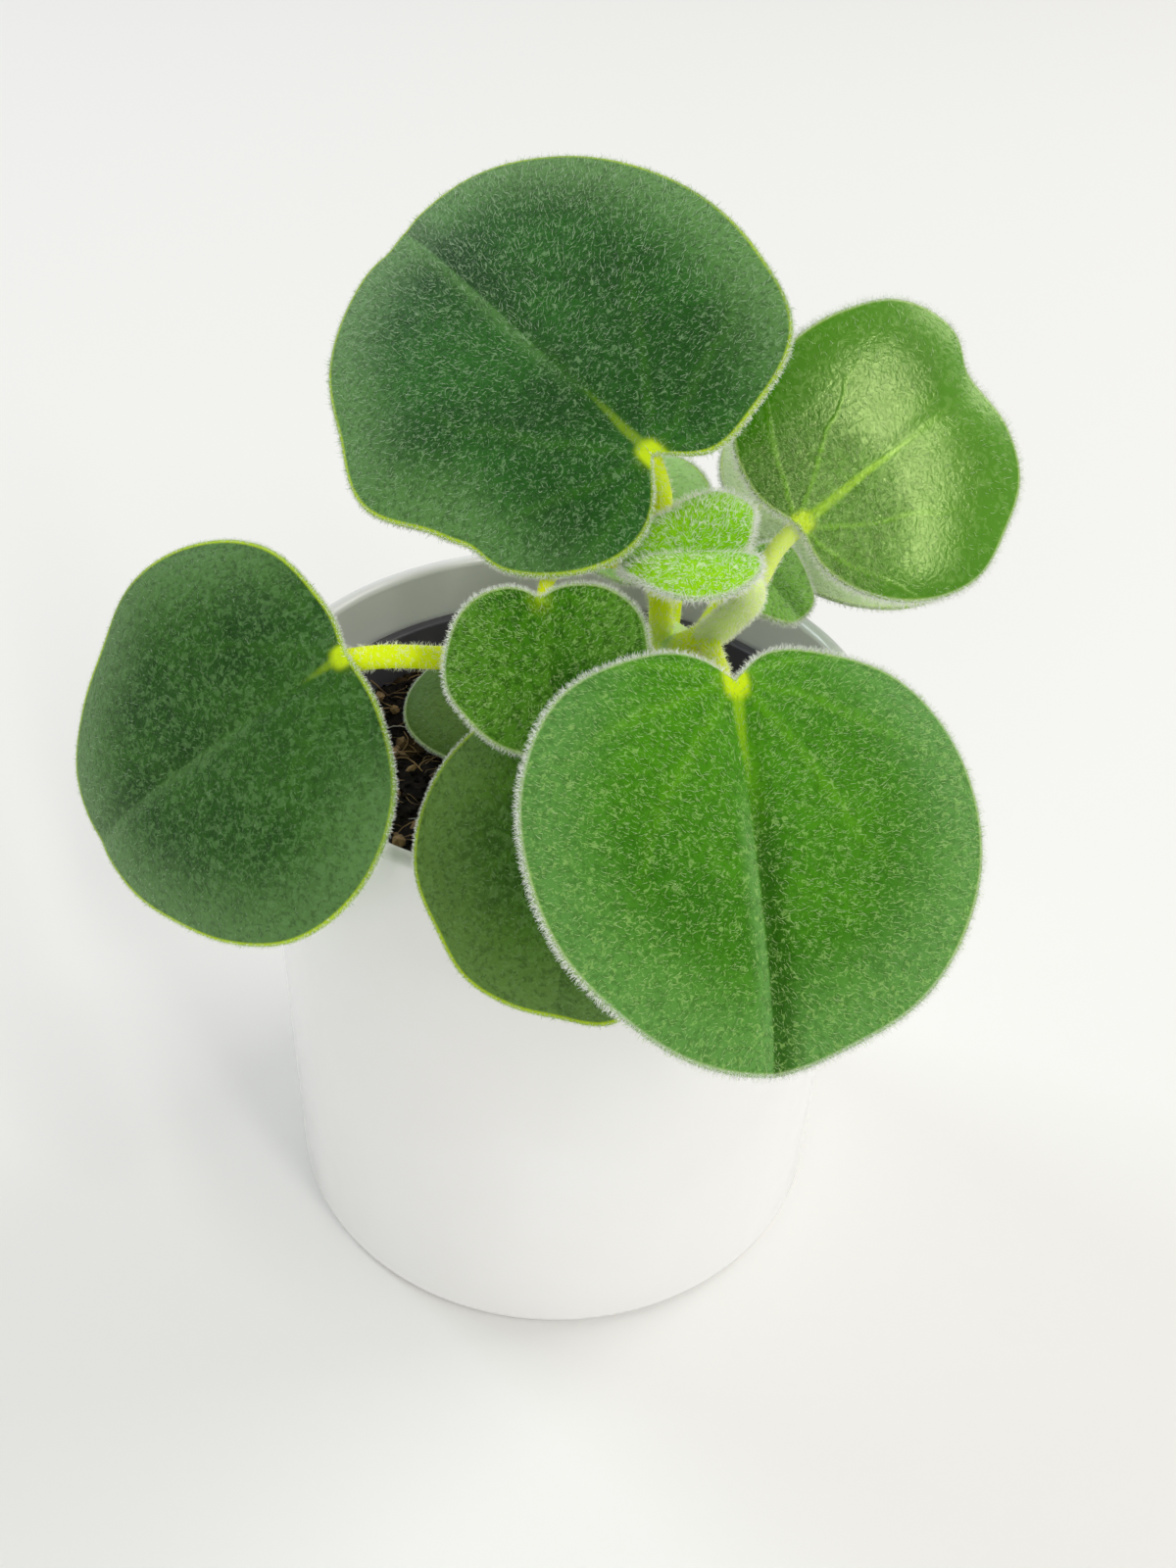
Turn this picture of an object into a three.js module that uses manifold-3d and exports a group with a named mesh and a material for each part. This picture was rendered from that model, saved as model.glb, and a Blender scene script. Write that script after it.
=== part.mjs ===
// Potted peperomia: a felted, heart-leaved plant in a nursery pot inside a glazed cover pot.
// Millimetres, +Z up, origin at the centre of the cover pot's flat base.

import * as THREE from 'three';
import { mergeVertices } from 'three/addons/utils/BufferGeometryUtils.js';
import Module from 'manifold-3d';

const wasm = await Module();
wasm.setup();

// --- driving dimensions ---------------------------------------------------------------

const potDiameter = 80;
const potHeight = 81;
const potWall = 2.4;
const potFloor = 4;
const potLipRadius = 1.1;
const potFootRadius = 2;
const seatGap = 0.3;                // what pieces that rest on each other are drawn apart

const nurseryHeight = 69;
const nurseryFootRadius = 28;
const nurseryTopRadius = 36;
const nurseryWall = 1;
const nurseryRim = { radius: 36.8, inner: 35, height: 3.5 };
const drainHoles = { count: 5, radius: 3.5, ring: 17 };

const soilLevel = 67.5;
const soilCrown = 1.2;              // how much higher the soil stands in the middle
const crumbHeight = 0.45;

const stemRadius = 2.6;
const stemHole = { radius: 3.4, floor: 56.6 };
const petioleSides = 5;             // curve segments of a half turn, so 10 sides
const stemNode = { radius: 3.3, at: [12.8, -7.2, 91.6] };
const stalkSeat = { ahead: 0.8, below: 0.3 };   // a stalk's end: radii along the midrib, mm down
const trimGap = 0.4;                // how far a blade's trimming shape stands off its faces

const bladeThickness = 1.4;
const bladeEdge = 0.7;
const bladeRings = [0.4, 0.72, 0.92, 1];
const sinusSharpness = 1.4;         // 2 rounds the bottom of the notch, 1 makes it a plain V
const creaseShare = 0.06;           // half width of the crease at the midrib, as a share of the width
const puffShare = 0.1;              // how fast a puffed half rises beside the crease, likewise
const junctionSpan = 5;             // around the junction the margin doesn't curl down

// --- finishes -------------------------------------------------------------------------

const finish = (color, roughness) => new THREE.MeshStandardMaterial({ color, roughness, metalness: 0 });
const finishes = {
  glaze: finish(0xeeeceb, 0.2),
  plastic: finish(0x35333a, 0.5),
  soil: finish(0x1b1512, 1),
  stem: finish(0xa9cc2a, 0.75),
  darkLeaf: finish(0x2f6b33, 0.8),
  leaf: finish(0x3d7f23, 0.8),
  youngLeaf: finish(0x79ad2c, 0.85),
  paleLeaf: finish(0x6d9460, 0.8),
};

// --- leaves ---------------------------------------------------------------------------
// at: the junction, where the stalk meets the blade. heading: compass direction of the
// midrib from +X, rise: its angle above level, roll: how far the right half is lifted.
// hub: distance from the junction to the blade's centre along the midrib. reach: how far
// the margin lies from the centre, every 22.5 degrees from the tip round by the right.
// sinus: half width in degrees of the notch at the junction. dents: small bites out of the
// margin as [angle from the tip, half width in degrees, depth], negative angles on the left.
// arch: how far the tip droops, cup: how far the margin turns down, fold: how far the halves
// rise from the midrib, puff: how far each half bulges up beside the crease.
// stalk: the stalk's centre line from inside the stem to just before the junction.

const leaves = {
  leaf_top: {
    at: [8, -17.5, 121.5], heading: 132, rise: 18, roll: 36, hub: 21, sinus: 10,
    reach: [26.5, 27.5, 26.5, 25.5, 25.5, 26.5, 28.5, 26.5, 28, 28.5, 27, 24, 26, 24.5, 25.5, 26],
    dents: [[-7, 5, 0.7], [-124, 6, 0.8]],
    arch: 1.7, cup: 2.2, segments: 48, finish: 'darkLeaf', stalkRadius: 1.35,
    stalk: [
      [11.5, -4.5, 88], [10.5, -10, 99.5], [10.3, -10.9, 106], [9.7, -12.1, 111.6], [9.2, -13.4, 115.6],
    ],
  },
  leaf_right: {
    at: [25, -11.5, 111], heading: 30, rise: 28, roll: -48, hub: 13.5, sinus: 11,
    reach: [14.5, 15.5, 16.5, 16.5, 17.5, 17, 16, 15, 14, 16.3, 18, 17, 17, 17.5, 18.5, 17.5],
    dents: [[-10, 8, 0.9]],
    arch: 1.8, cup: 0.9, segments: 44, finish: 'leaf', stalkRadius: 1.1,
    stalk: [[11.5, -5, 88], [15, -11, 94.5], [18, -14, 99.5], [20.9, -13.5, 104.5], [22.9, -11.6, 108]],
  },
  leaf_left: {
    at: [-24, -25.5, 101], heading: 190, rise: -33, roll: 42, hub: 20, sinus: 14,
    reach: [20.5, 21, 20, 20, 22.5, 23.5, 23.5, 21.5, 21.5, 21.5, 23.5, 24.5, 24, 22, 20.5, 20.5],
    arch: 6.3, cup: 2.2, fold: 1, segments: 48, finish: 'darkLeaf', stalkRadius: 1.35,
    stalk: [[11.5, -5, 89], [2, -12, 93.5], [-7, -17, 95.5], [-14, -20, 97.5], [-20, -23.8, 99.8]],
  },
  leaf_centre: {
    at: [-3.3, -25.6, 108.9], heading: 285, rise: -46, roll: -17, hub: 7.6, sinus: 15,
    reach: [9.5, 9.5, 10, 10.5, 11.5, 11.5, 11.5, 10.5, 9.5, 9.5, 10.5, 11, 10.5, 11, 10.5, 10],
    arch: 1.7, cup: 0.8, segments: 36, finish: 'leaf', stalkRadius: 0.85,
    stalk: [[11.5, -5, 89], [10.3, -8.5, 98], [8, -11, 104.5], [3.2, -15.5, 108], [-2, -21, 109.3]],
  },
  leaf_front: {
    at: [16.5, -37, 106.5], heading: 279, rise: -34, roll: 2, hub: 18, sinus: 11,
    reach: [20.5, 20.5, 20.5, 21.5, 22.5, 24, 25, 24, 25, 24, 25.5, 25, 23.5, 22, 21, 20],
    arch: 3.6, cup: 1.8, fold: 2.1, foldFrom: 0.3, foldTo: 0.8,
    segments: 48, finish: 'leaf', stalkRadius: 1.2,
    stalk: [[12, -6, 89.5], [15.6, -11.9, 96], [16.3, -22.3, 99.2], [16.2, -31.5, 101.8]],
  },
  leaf_lower: {
    at: [2.5, -34, 93.5], heading: 261, rise: -44, roll: 0, hub: 13.5, sinus: 14,
    reach: [13.5, 14, 15, 15.5, 17.5, 19, 20.5, 21.5, 17.5, 17.5, 18, 17, 16, 15, 14, 14.5],
    arch: 2.9, cup: 1.5, segments: 40, finish: 'darkLeaf', stalkRadius: 1.25,
    stalk: [[11, -3, 82], [12, -9, 85.5], [9, -20, 90], [5, -29, 92.6]],
  },
  leaf_young: {
    at: [18.1, -21.6, 112.6], heading: 175, rise: -4, roll: 14, hub: 5.9, sinus: 14,
    reach: [7.3, 7.3, 6.8, 6.5, 7.8, 9.3, 9.3, 7.8, 8.3, 8.8, 8.8, 8.8, 8.3, 7.3, 6.8, 7.3],
    arch: 0.9, cup: 1.5, fold: 0.8, puff: 2, segments: 32, finish: 'youngLeaf', stalkRadius: 1.7,
    stalk: [[12, -7, 91], [15.4, -13, 97], [17.6, -18, 102.5], [19.3, -21, 107.5]],
  },
  leaf_small: {
    at: [22.1, 5.1, 98.1], heading: 331, rise: -39, roll: -5, hub: 5.3, sinus: 14,
    reach: [5, 5, 5, 5.5, 6.5, 7, 7, 6.5, 6, 6.5, 7, 7.5, 6.5, 6, 6, 5.5],
    fold: 0.9, segments: 24, finish: 'leaf', stalkRadius: 0.9,
    stalk: [[11, -3, 85], [14.2, -4, 89.5], [17.5, -1, 93.2], [20.3, 3.2, 95.9]],
  },
  leaf_back: {
    at: [13, 5.5, 97.5], heading: 125, rise: 15, roll: 30, hub: 8.5, sinus: 14,
    reach: [11.5, 11.5, 11.5, 11, 10.5, 10, 10, 9.5, 9.5, 9.5, 9.5, 9, 9.5, 10.5, 11, 11.5],
    arch: 1.4, cup: 0.9, segments: 32, finish: 'leaf', stalkRadius: 1.05,
    stalk: [[11, -3, 85], [12.5, -1.5, 91], [13, 2.5, 95.5]],
  },
  leaf_far: {
    at: [22.5, 20.5, 97], heading: 20, rise: 6, roll: -22, hub: 18, sinus: 14,
    reach: [18.5, 18.5, 19, 19.5, 20.5, 20.5, 20, 19.5, 19, 19.5, 20, 20.5, 20.5, 19.5, 19, 18.5],
    arch: 2.1, cup: 1.1, segments: 40, finish: 'paleLeaf', stalkRadius: 1.2,
    stalk: [[11, -2, 82], [15.5, 2, 86.5], [19.5, 9, 89.5], [22.3, 16, 92.4]],
  },
  leaf_soil: {
    at: [-6.6, 7, 75.4], heading: 178, rise: -8, roll: 20, hub: 8, sinus: 14,
    reach: [8.5, 8.5, 8.5, 9, 10, 10.5, 10, 9, 8.5, 9, 10, 10.5, 10, 9, 8.5, 8.5],
    arch: 1, cup: 0.8, segments: 28, finish: 'darkLeaf', stalkRadius: 0.95,
    stalk: [[9.2, 1.5, 72], [3, 2.5, 74.5], [-4, 5, 76.2]],
  },
};

const stemLine = [[9, 2, 57], [9, 2, 65], [9.5, 0.5, 74], [10.8, -3, 84], [12.2, -8, 94]];

// --- helpers --------------------------------------------------------------------------

const radians = THREE.MathUtils.degToRad;
const point = ([x, y, z]) => new THREE.Vector3(x, y, z);

function toSolid(geometry) {
  const bare = geometry.clone();
  bare.deleteAttribute('normal');
  bare.deleteAttribute('uv');
  const merged = mergeVertices(bare, 1e-4);
  const corners = merged.index.array;
  const faces = [];
  for (let i = 0; i < corners.length; i += 3) {
    const [a, b, c] = corners.slice(i, i + 3);
    if (a !== b && b !== c && c !== a) faces.push(a, b, c);
  }
  return new wasm.Manifold(new wasm.Mesh({
    numProp: 3,
    vertProperties: new Float32Array(merged.attributes.position.array),
    triVerts: new Uint32Array(faces),
  }));
}

function toGeometry(solid) {
  const mesh = solid.getMesh();
  const geometry = new THREE.BufferGeometry();
  geometry.setAttribute('position', new THREE.BufferAttribute(new Float32Array(mesh.vertProperties), 3));
  geometry.setIndex(new THREE.BufferAttribute(new Uint32Array(mesh.triVerts), 1));
  geometry.computeVertexNormals();
  return geometry;
}

function lathe(profile, segments) {
  const line = profile.map(([radius, height]) => new THREE.Vector2(radius, height));
  return new THREE.LatheGeometry(line, segments).rotateX(Math.PI / 2);
}

function tube(points, radius, steps) {
  const section = new THREE.Shape().absarc(0, 0, radius, 0, Math.PI * 2);
  return new THREE.ExtrudeGeometry(section, {
    extrudePath: new THREE.CatmullRomCurve3(points.map(point)),
    steps,
    curveSegments: petioleSides,
    bevelEnabled: false,
  });
}

function named(name, geometry, material) {
  const mesh = new THREE.Mesh(geometry, material);
  mesh.name = name;
  return mesh;
}

// --- pots and soil --------------------------------------------------------------------

function arc(centreRadius, centreHeight, radius, fromAngle, toAngle, steps) {
  return Array.from({ length: steps + 1 }, (_, i) => {
    const angle = radians(fromAngle + (toAngle - fromAngle) * i / steps);
    return [centreRadius + radius * Math.cos(angle), centreHeight + radius * Math.sin(angle)];
  });
}

function coverPot() {
  const outer = potDiameter / 2;
  const inner = outer - potWall;
  const profile = [
    [0, 0],
    ...arc(outer - potFootRadius, potFootRadius, potFootRadius, -90, 0, 3),
    ...arc(outer - potLipRadius, potHeight - potLipRadius, potLipRadius, 0, 90, 3),
    ...arc(inner + potLipRadius, potHeight - potLipRadius, potLipRadius, 90, 180, 3),
    ...arc(inner - potFootRadius, potFloor + potFootRadius, potFootRadius, 0, -90, 3),
    [0, potFloor],
  ];
  return named('cover_pot', lathe(profile, 56), finishes.glaze);
}

const nurseryBase = potFloor + seatGap;
const nurseryTop = nurseryBase + nurseryHeight;
const nurseryRadiusAt = (height) =>
  THREE.MathUtils.mapLinear(height, nurseryBase, nurseryTop, nurseryFootRadius, nurseryTopRadius);

function nurseryPot() {
  const rimFoot = nurseryTop - nurseryRim.height;
  const floorTop = nurseryBase + nurseryWall;
  const profile = [
    [0, nurseryBase],
    [nurseryFootRadius, nurseryBase],
    [nurseryRadiusAt(rimFoot), rimFoot],
    [nurseryRim.radius, rimFoot],
    [nurseryRim.radius, nurseryTop - 0.5],
    [nurseryRim.radius - 0.5, nurseryTop],
    [nurseryRim.inner, nurseryTop],
    [nurseryRadiusAt(rimFoot) - nurseryWall, rimFoot],
    [nurseryFootRadius - nurseryWall, floorTop],
    [0, floorTop],
  ];
  let pot = toSolid(lathe(profile, 44));
  for (let i = 0; i < drainHoles.count; i += 1) {
    const angle = i * 2 * Math.PI / drainHoles.count;
    const hole = new THREE.CylinderGeometry(drainHoles.radius, drainHoles.radius, 6, 12)
      .rotateX(Math.PI / 2)
      .translate(drainHoles.ring * Math.cos(angle), drainHoles.ring * Math.sin(angle), nurseryBase);
    pot = pot.subtract(toSolid(hole));
  }
  return named('nursery_pot', toGeometry(pot), finishes.plastic);
}

function soil() {
  const base = nurseryBase + nurseryWall + seatGap;
  const clear = nurseryWall + seatGap + 0.1;
  const edge = nurseryRadiusAt(soilLevel) - clear;
  const crown = (radius) => soilLevel + soilCrown * (1 - (radius / edge) ** 2);
  const topRadii = [0.93, 0.8, 0.67, 0.54, 0.41, 0.28, 0.14, 0].map((share) => share * edge);
  const profile = [
    [0, base],
    [nurseryRadiusAt(base) - clear, base],
    [edge, soilLevel],
    ...topRadii.map((radius) => [radius, crown(radius)]),
  ];
  const body = lathe(profile, 32);
  const spots = body.attributes.position;
  for (let i = 0; i < spots.count; i += 1) {
    const [x, y, z] = [spots.getX(i), spots.getY(i), spots.getZ(i)];
    const crumbs = Math.sin(0.9 * x + 1.7) * Math.cos(0.8 * y)
      + Math.sin(0.5 * (x - y)) * Math.cos(0.7 * x);
    if (z > soilLevel + 0.01) spots.setZ(i, z + crumbHeight * crumbs);
  }
  const depth = 20;
  const hole = new THREE.CylinderGeometry(stemHole.radius, stemHole.radius, depth, 16)
    .rotateX(Math.PI / 2)
    .translate(stemLine[0][0], stemLine[0][1], stemHole.floor + depth / 2);
  return named('soil', toGeometry(toSolid(body).subtract(toSolid(hole))), finishes.soil);
}

// --- blades ---------------------------------------------------------------------------

// distance from the hub to the margin: a smooth curve through the reach values, cut in at the sinus
function marginRadius(leaf, angle) {
  const { reach, hub, sinus } = leaf;
  const count = reach.length;
  const turn = THREE.MathUtils.euclideanModulo(angle / (2 * Math.PI), 1) * count;
  const first = Math.floor(turn);
  const f = turn - first;
  const [before, here, next, after] = [-1, 0, 1, 2].map((step) => reach[(first + step + count) % count]);
  const smooth = 0.5 * (2 * here + (next - before) * f
    + (2 * before - 5 * here + 4 * next - after) * f ** 2
    + (3 * here - before - 3 * next + after) * f ** 3);
  const turned = THREE.MathUtils.euclideanModulo(angle + Math.PI, 2 * Math.PI);
  const fromBase = Math.PI - Math.abs(turned - Math.PI);
  const notch = (reach[count / 2] - hub) * Math.exp(-((fromBase / radians(sinus)) ** sinusSharpness));
  const bites = (leaf.dents ?? []).map(([place, width, depth]) => {
    const apart = THREE.MathUtils.euclideanModulo(angle - radians(place) + Math.PI, 2 * Math.PI);
    const off = apart - Math.PI;
    return depth * Math.exp(-((off / radians(width)) ** 2));
  });
  return smooth - notch - bites.reduce((sum, bite) => sum + bite, 0);
}

// height of the blade's middle surface above its plane
function bladeRise(leaf, across, along, share) {
  const { arch = 0, cup = 0, fold = 0, foldFrom = -0.3, foldTo = 0.2, puff = 0 } = leaf;
  const length = leaf.hub + leaf.reach[0];
  const width = leaf.reach[4] + leaf.reach[12];
  const groove = creaseShare * width;
  const opened = (Math.hypot(across, groove) - groove) / (width / 2);
  const bulge = puff * across ** 2 / (across ** 2 + (puffShare * width) ** 2);
  const ramp = THREE.MathUtils.clamp((along / length - foldFrom) / (foldTo - foldFrom), 0, 1);
  const droop = arch * (along / length) ** 2 * (along > 0 ? 1 : 0.5);
  const curl = 1 - Math.exp(-(across ** 2 + along ** 2) / junctionSpan ** 2);
  return fold * opened * ramp + bulge - droop - cup * curl * share ** 4;
}

// the blade in its own axes: X right, Y along the midrib, Z out of the upper face
function bladeGeometry(leaf, clearance = 0) {
  const count = leaf.segments;
  const spots = [];
  const faces = [];
  for (const side of [1, -1]) {
    const add = (angle, share) => {
      const radius = (marginRadius(leaf, angle) + clearance) * share;
      const across = radius * Math.sin(angle);
      const along = leaf.hub + radius * Math.cos(angle);
      const half = (bladeEdge + (bladeThickness - bladeEdge) * (1 - share ** 4)) / 2 + clearance;
      spots.push(across, along, bladeRise(leaf, across, along, share) + side * half);
    };
    add(0, 0);
    for (const share of bladeRings) {
      for (let i = 0; i < count; i += 1) add(i * 2 * Math.PI / count, share);
    }
  }
  const under = 1 + bladeRings.length * count;
  const place = (ring, i) => 1 + ring * count + (i % count);
  const both = (a, b, c) => faces.push(a, b, c, under + a, under + c, under + b);
  for (let i = 0; i < count; i += 1) {
    both(0, place(0, i + 1), place(0, i));
    for (let ring = 1; ring < bladeRings.length; ring += 1) {
      both(place(ring - 1, i), place(ring - 1, i + 1), place(ring, i + 1));
      both(place(ring - 1, i), place(ring, i + 1), place(ring, i));
    }
    const [here, next] = [place(bladeRings.length - 1, i), place(bladeRings.length - 1, i + 1)];
    faces.push(here, next, under + next, here, under + next, under + here);
  }
  const geometry = new THREE.BufferGeometry();
  geometry.setAttribute('position', new THREE.Float32BufferAttribute(spots, 3));
  geometry.setIndex(faces);
  geometry.computeVertexNormals();
  return geometry;
}

function blade(name, leaf) {
  const mesh = named(name, bladeGeometry(leaf), finishes[leaf.finish]);
  mesh.position.set(...leaf.at);
  mesh.rotation.set(radians(leaf.rise), radians(-leaf.roll), radians(leaf.heading - 90), 'ZXY');
  mesh.updateMatrix();
  return mesh;
}

const blades = Object.entries(leaves).map(([name, leaf]) => blade(name, leaf));

// --- stem with its stalks -------------------------------------------------------------
// Every stalk runs under its blade's junction and is trimmed just clear of the blade.

// the end of the centre line: lower the flatter the stalk arrives, so its top just meets the blade
function stalkEnd(leaf, matrix) {
  const arrival = point(leaf.at).sub(point(leaf.stalk.at(-1))).normalize();
  const normal = new THREE.Vector3(0, 0, 1).transformDirection(matrix);
  const steepness = arrival.dot(normal);
  const below = stalkSeat.below + leaf.stalkRadius * Math.sqrt(1 - steepness ** 2);
  return new THREE.Vector3(0, stalkSeat.ahead * leaf.stalkRadius, -below).applyMatrix4(matrix).toArray();
}

function stem() {
  const node = new THREE.SphereGeometry(stemNode.radius, 12, 8).translate(...stemNode.at);
  let solid = toSolid(tube(stemLine, stemRadius, 10)).add(toSolid(node));
  blades.forEach((mesh) => {
    const leaf = leaves[mesh.name];
    solid = solid.add(toSolid(tube([...leaf.stalk, stalkEnd(leaf, mesh.matrix)], leaf.stalkRadius, 10)));
  });
  blades.forEach((mesh) => {
    const room = bladeGeometry(leaves[mesh.name], trimGap).applyMatrix4(mesh.matrix);
    solid = solid.subtract(toSolid(room));
  });
  const bodies = solid.decompose().sort((a, b) => b.volume() - a.volume());
  return named('stem', toGeometry(bodies[0]), finishes.stem);
}

const plant = new THREE.Group();
plant.add(coverPot(), nurseryPot(), soil(), stem(), ...blades);

export default plant;
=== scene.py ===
# Potted peperomia: felted leaves, fleshy stalks, soil, a dark nursery pot and a white cover pot.
from math import cos, exp, hypot, pi, radians, sin, sqrt

import bmesh
import bpy
from mathutils import Matrix, Vector, noise
from mathutils.kdtree import KDTree


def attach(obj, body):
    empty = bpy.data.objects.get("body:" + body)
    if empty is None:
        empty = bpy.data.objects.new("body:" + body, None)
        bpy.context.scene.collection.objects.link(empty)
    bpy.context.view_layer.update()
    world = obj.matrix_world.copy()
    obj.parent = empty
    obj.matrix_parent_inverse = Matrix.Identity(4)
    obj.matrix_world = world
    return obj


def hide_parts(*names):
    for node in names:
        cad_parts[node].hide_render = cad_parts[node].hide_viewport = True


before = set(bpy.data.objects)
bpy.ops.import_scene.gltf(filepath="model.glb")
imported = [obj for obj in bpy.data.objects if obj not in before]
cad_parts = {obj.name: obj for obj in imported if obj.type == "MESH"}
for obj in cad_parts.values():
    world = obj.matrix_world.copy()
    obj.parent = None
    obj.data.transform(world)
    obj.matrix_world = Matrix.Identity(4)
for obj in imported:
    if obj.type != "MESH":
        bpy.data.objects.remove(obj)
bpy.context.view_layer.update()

mm = 0.001
noise.seed_set(3)  # vector noise starts from the clock otherwise
fullTurn = 2 * pi


drawing = {"tree": None}  # nodes go into the tree that was opened last


# puts down one node with its settings and inputs; a colour is given as three numbers
def put(kind, inputs=None, **settings):
    tree = drawing["tree"]
    node = tree.nodes.new(kind)
    for key, value in settings.items():
        setattr(node, key, value)
    for key, value in (inputs or {}).items():
        socket = node.inputs[key]
        if isinstance(value, bpy.types.NodeSocket):
            tree.links.new(value, socket)
        elif socket.type == "RGBA":
            socket.default_value = (*value, 1.0)
        else:
            socket.default_value = value
    return node


def out(kind, inputs=None, **settings):
    # a node's first output
    return put(kind, inputs, **settings).outputs[0]


def calc(operation, *values):
    return out("ShaderNodeMath", dict(enumerate(values)), operation=operation)


def times(product, *factors):
    for factor in factors:
        product = calc("MULTIPLY", product, factor)
    return product


def fade(value, start, end, low=0.0, high=1.0):
    # smooth step from low at start to high at end
    return out("ShaderNodeMapRange", {0: value, 1: start, 2: end, 3: low, 4: high},
               interpolation_type="SMOOTHSTEP")


def mixColour(amount, first, second):
    return put("ShaderNodeMix", {0: amount, 6: first, 7: second}, data_type="RGBA").outputs[2]


def layered(colour, layers):
    # lays more colours over the first, each by its own amount
    for amount, over in layers:
        colour = mixColour(amount, colour, over)
    return colour


def darker(colour, amount):
    return tuple(amount * part for part in colour)


def speckle(where, scale, detail=3.0, roughness=0.55, distortion=0.0):
    # noise about 0.5, scale in spots per metre
    return out("ShaderNodeTexNoise",
               {"Vector": where, "Scale": scale, "Detail": detail, "Roughness": roughness,
                "Distortion": distortion})


def stored(name):
    # a number that was written on the mesh
    return put("ShaderNodeAttribute", attribute_name=name).outputs["Fac"]


def blankMaterial(name):
    # an empty material, and the place on the object
    material = bpy.data.materials.new(name)
    material.use_nodes = True
    drawing["tree"] = material.node_tree
    material.node_tree.nodes.clear()
    return material, put("ShaderNodeTexCoord").outputs["Object"]


def finishMaterial(inputs, bumps=()):
    # one principled shader; bumps is a list of (height, depth in mm)
    normal = {}
    for height, depth in bumps:
        bump = {"Height": height, "Distance": depth * mm, "Strength": 1.0}
        normal = {"Normal": out("ShaderNodeBump", {**bump, **normal})}
    put("ShaderNodeOutputMaterial", {"Surface": out("ShaderNodeBsdfPrincipled", {**inputs, **normal})})


def addObject(name, data):
    piece = bpy.data.objects.new(name, data)
    bpy.context.scene.collection.objects.link(piece)
    return piece


def meshPiece(name, points, faces, material, smooth=True):
    mesh = bpy.data.meshes.new(name)
    mesh.from_pydata([tuple(point) for point in points], [], faces)
    mesh.update()
    mesh.polygons.foreach_set("use_smooth", [smooth] * len(mesh.polygons))
    mesh.materials.append(material)
    return addObject(name, mesh)


def turned(name, profile, material, sides):
    # revolves a profile of (radius, height) in mm that starts and ends on the axis
    points, faces, rings = [], [], []
    for radius, height in profile:
        radius, height = radius * mm, height * mm
        if radius == 0:
            rings.append([len(points)] * sides)
            points.append((0, 0, height))
            continue
        rings.append(range(len(points), len(points) + sides))
        for i in range(sides):
            turn = fullTurn * i / sides
            points.append((radius * cos(turn), radius * sin(turn), height))
    for lower, upper in zip(rings, rings[1:]):
        for i in range(sides):
            j = (i + 1) % sides
            corners = [lower[i], lower[j], upper[j], upper[i]]
            faces.append([c for k, c in enumerate(corners) if c not in corners[:k]])
    return meshPiece(name, points, faces, material)


def roundCorner(radius, height, size, start, end, steps=6):
    # arc of points about (radius, height), angles in degrees
    angles = [radians(start + (end - start) * i / steps) for i in range(steps + 1)]
    return [(radius + size * cos(a), height + size * sin(a)) for a in angles]


def clamped(value):
    return min(max(value, 0), 1)


def harden(piece):
    # turns the piece's live modifiers into a plain mesh
    shown = piece.evaluated_get(bpy.context.evaluated_depsgraph_get())
    mesh = bpy.data.meshes.new_from_object(shown)
    piece.modifiers.clear()
    piece.data = mesh


def handOver(piece, slot, *nodes):
    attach(piece, "root")
    if nodes:
        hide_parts(*nodes)


def addTree(name, *numbers):
    # a geometry node tree that takes a mesh, the named numbers, a seed and a material
    tree = bpy.data.node_groups.new(name, "GeometryNodeTree")
    drawing["tree"] = tree
    tree.interface.new_socket("Geometry", in_out="OUTPUT", socket_type="NodeSocketGeometry")
    kinds = {"Geometry": "Geometry", **{number: "Float" for number in numbers},
             "Seed": "Int", "Material": "Material"}
    for label, kind in kinds.items():
        tree.interface.new_socket(label, in_out="INPUT", socket_type="NodeSocket" + kind)
    return tree, tree.nodes.new("NodeGroupInput").outputs


def growOn(base, name, tree, values):
    # runs a tree on a copy of the base mesh and keeps only what grew
    piece = addObject(name, base.data.copy())
    modifier = piece.modifiers.new(name, "NODES")
    modifier.node_group = tree
    for item in tree.interface.items_tree:
        if item.in_out == "INPUT" and item.name in values:
            modifier[item.identifier] = values[item.name]
    harden(piece)
    needed = ("position", "material_index", "sharp_face")
    attributes = piece.data.attributes
    for spare in [a.name for a in attributes if not a.is_internal and a.name not in needed]:
        attributes.remove(attributes[spare])
    return piece


def named(name, kind="FLOAT"):
    # in a geometry tree, a value that was written on the mesh
    return out("GeometryNodeInputNamedAttribute", {0: name}, data_type=kind)


def randomBetween(low, high, seed):
    return put("FunctionNodeRandomValue", {2: low, 3: high, "Seed": seed}, data_type="FLOAT").outputs[1]


def randomVector(low, high, seed):
    return out("FunctionNodeRandomValue", {0: low, 1: high, "Seed": seed}, data_type="FLOAT_VECTOR")


def scatter(given, *density):
    # points on the faces, as many per square mm as the product of the densities says
    return put("GeometryNodeDistributePointsOnFaces",
               {"Mesh": given["Geometry"], "Density": times(*density, 1e6), "Seed": given["Seed"]},
               distribute_method="RANDOM").outputs


def copyOver(given, spots, copy, turn, size):
    # puts a copy on every spot and ends the tree
    copies = out("GeometryNodeInstanceOnPoints",
                 {"Points": spots["Points"], "Instance": copy, "Rotation": turn, "Scale": size})
    real = out("GeometryNodeRealizeInstances", {0: copies})
    put("NodeGroupOutput", {0: out("GeometryNodeSetMaterial", {0: real, 2: given["Material"]})})


camera = {
    "place": (0, -160.5 * mm, 184.5 * mm),
    "down": 0.637,  # radians below level
    "aside": 0.019,
    "roll": 0.043,
    "lens": 33.6,  # mm, along the image's longer side
    "sensor": 36,  # mm
    "near": 0.01,  # m, where the view begins
}


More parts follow.
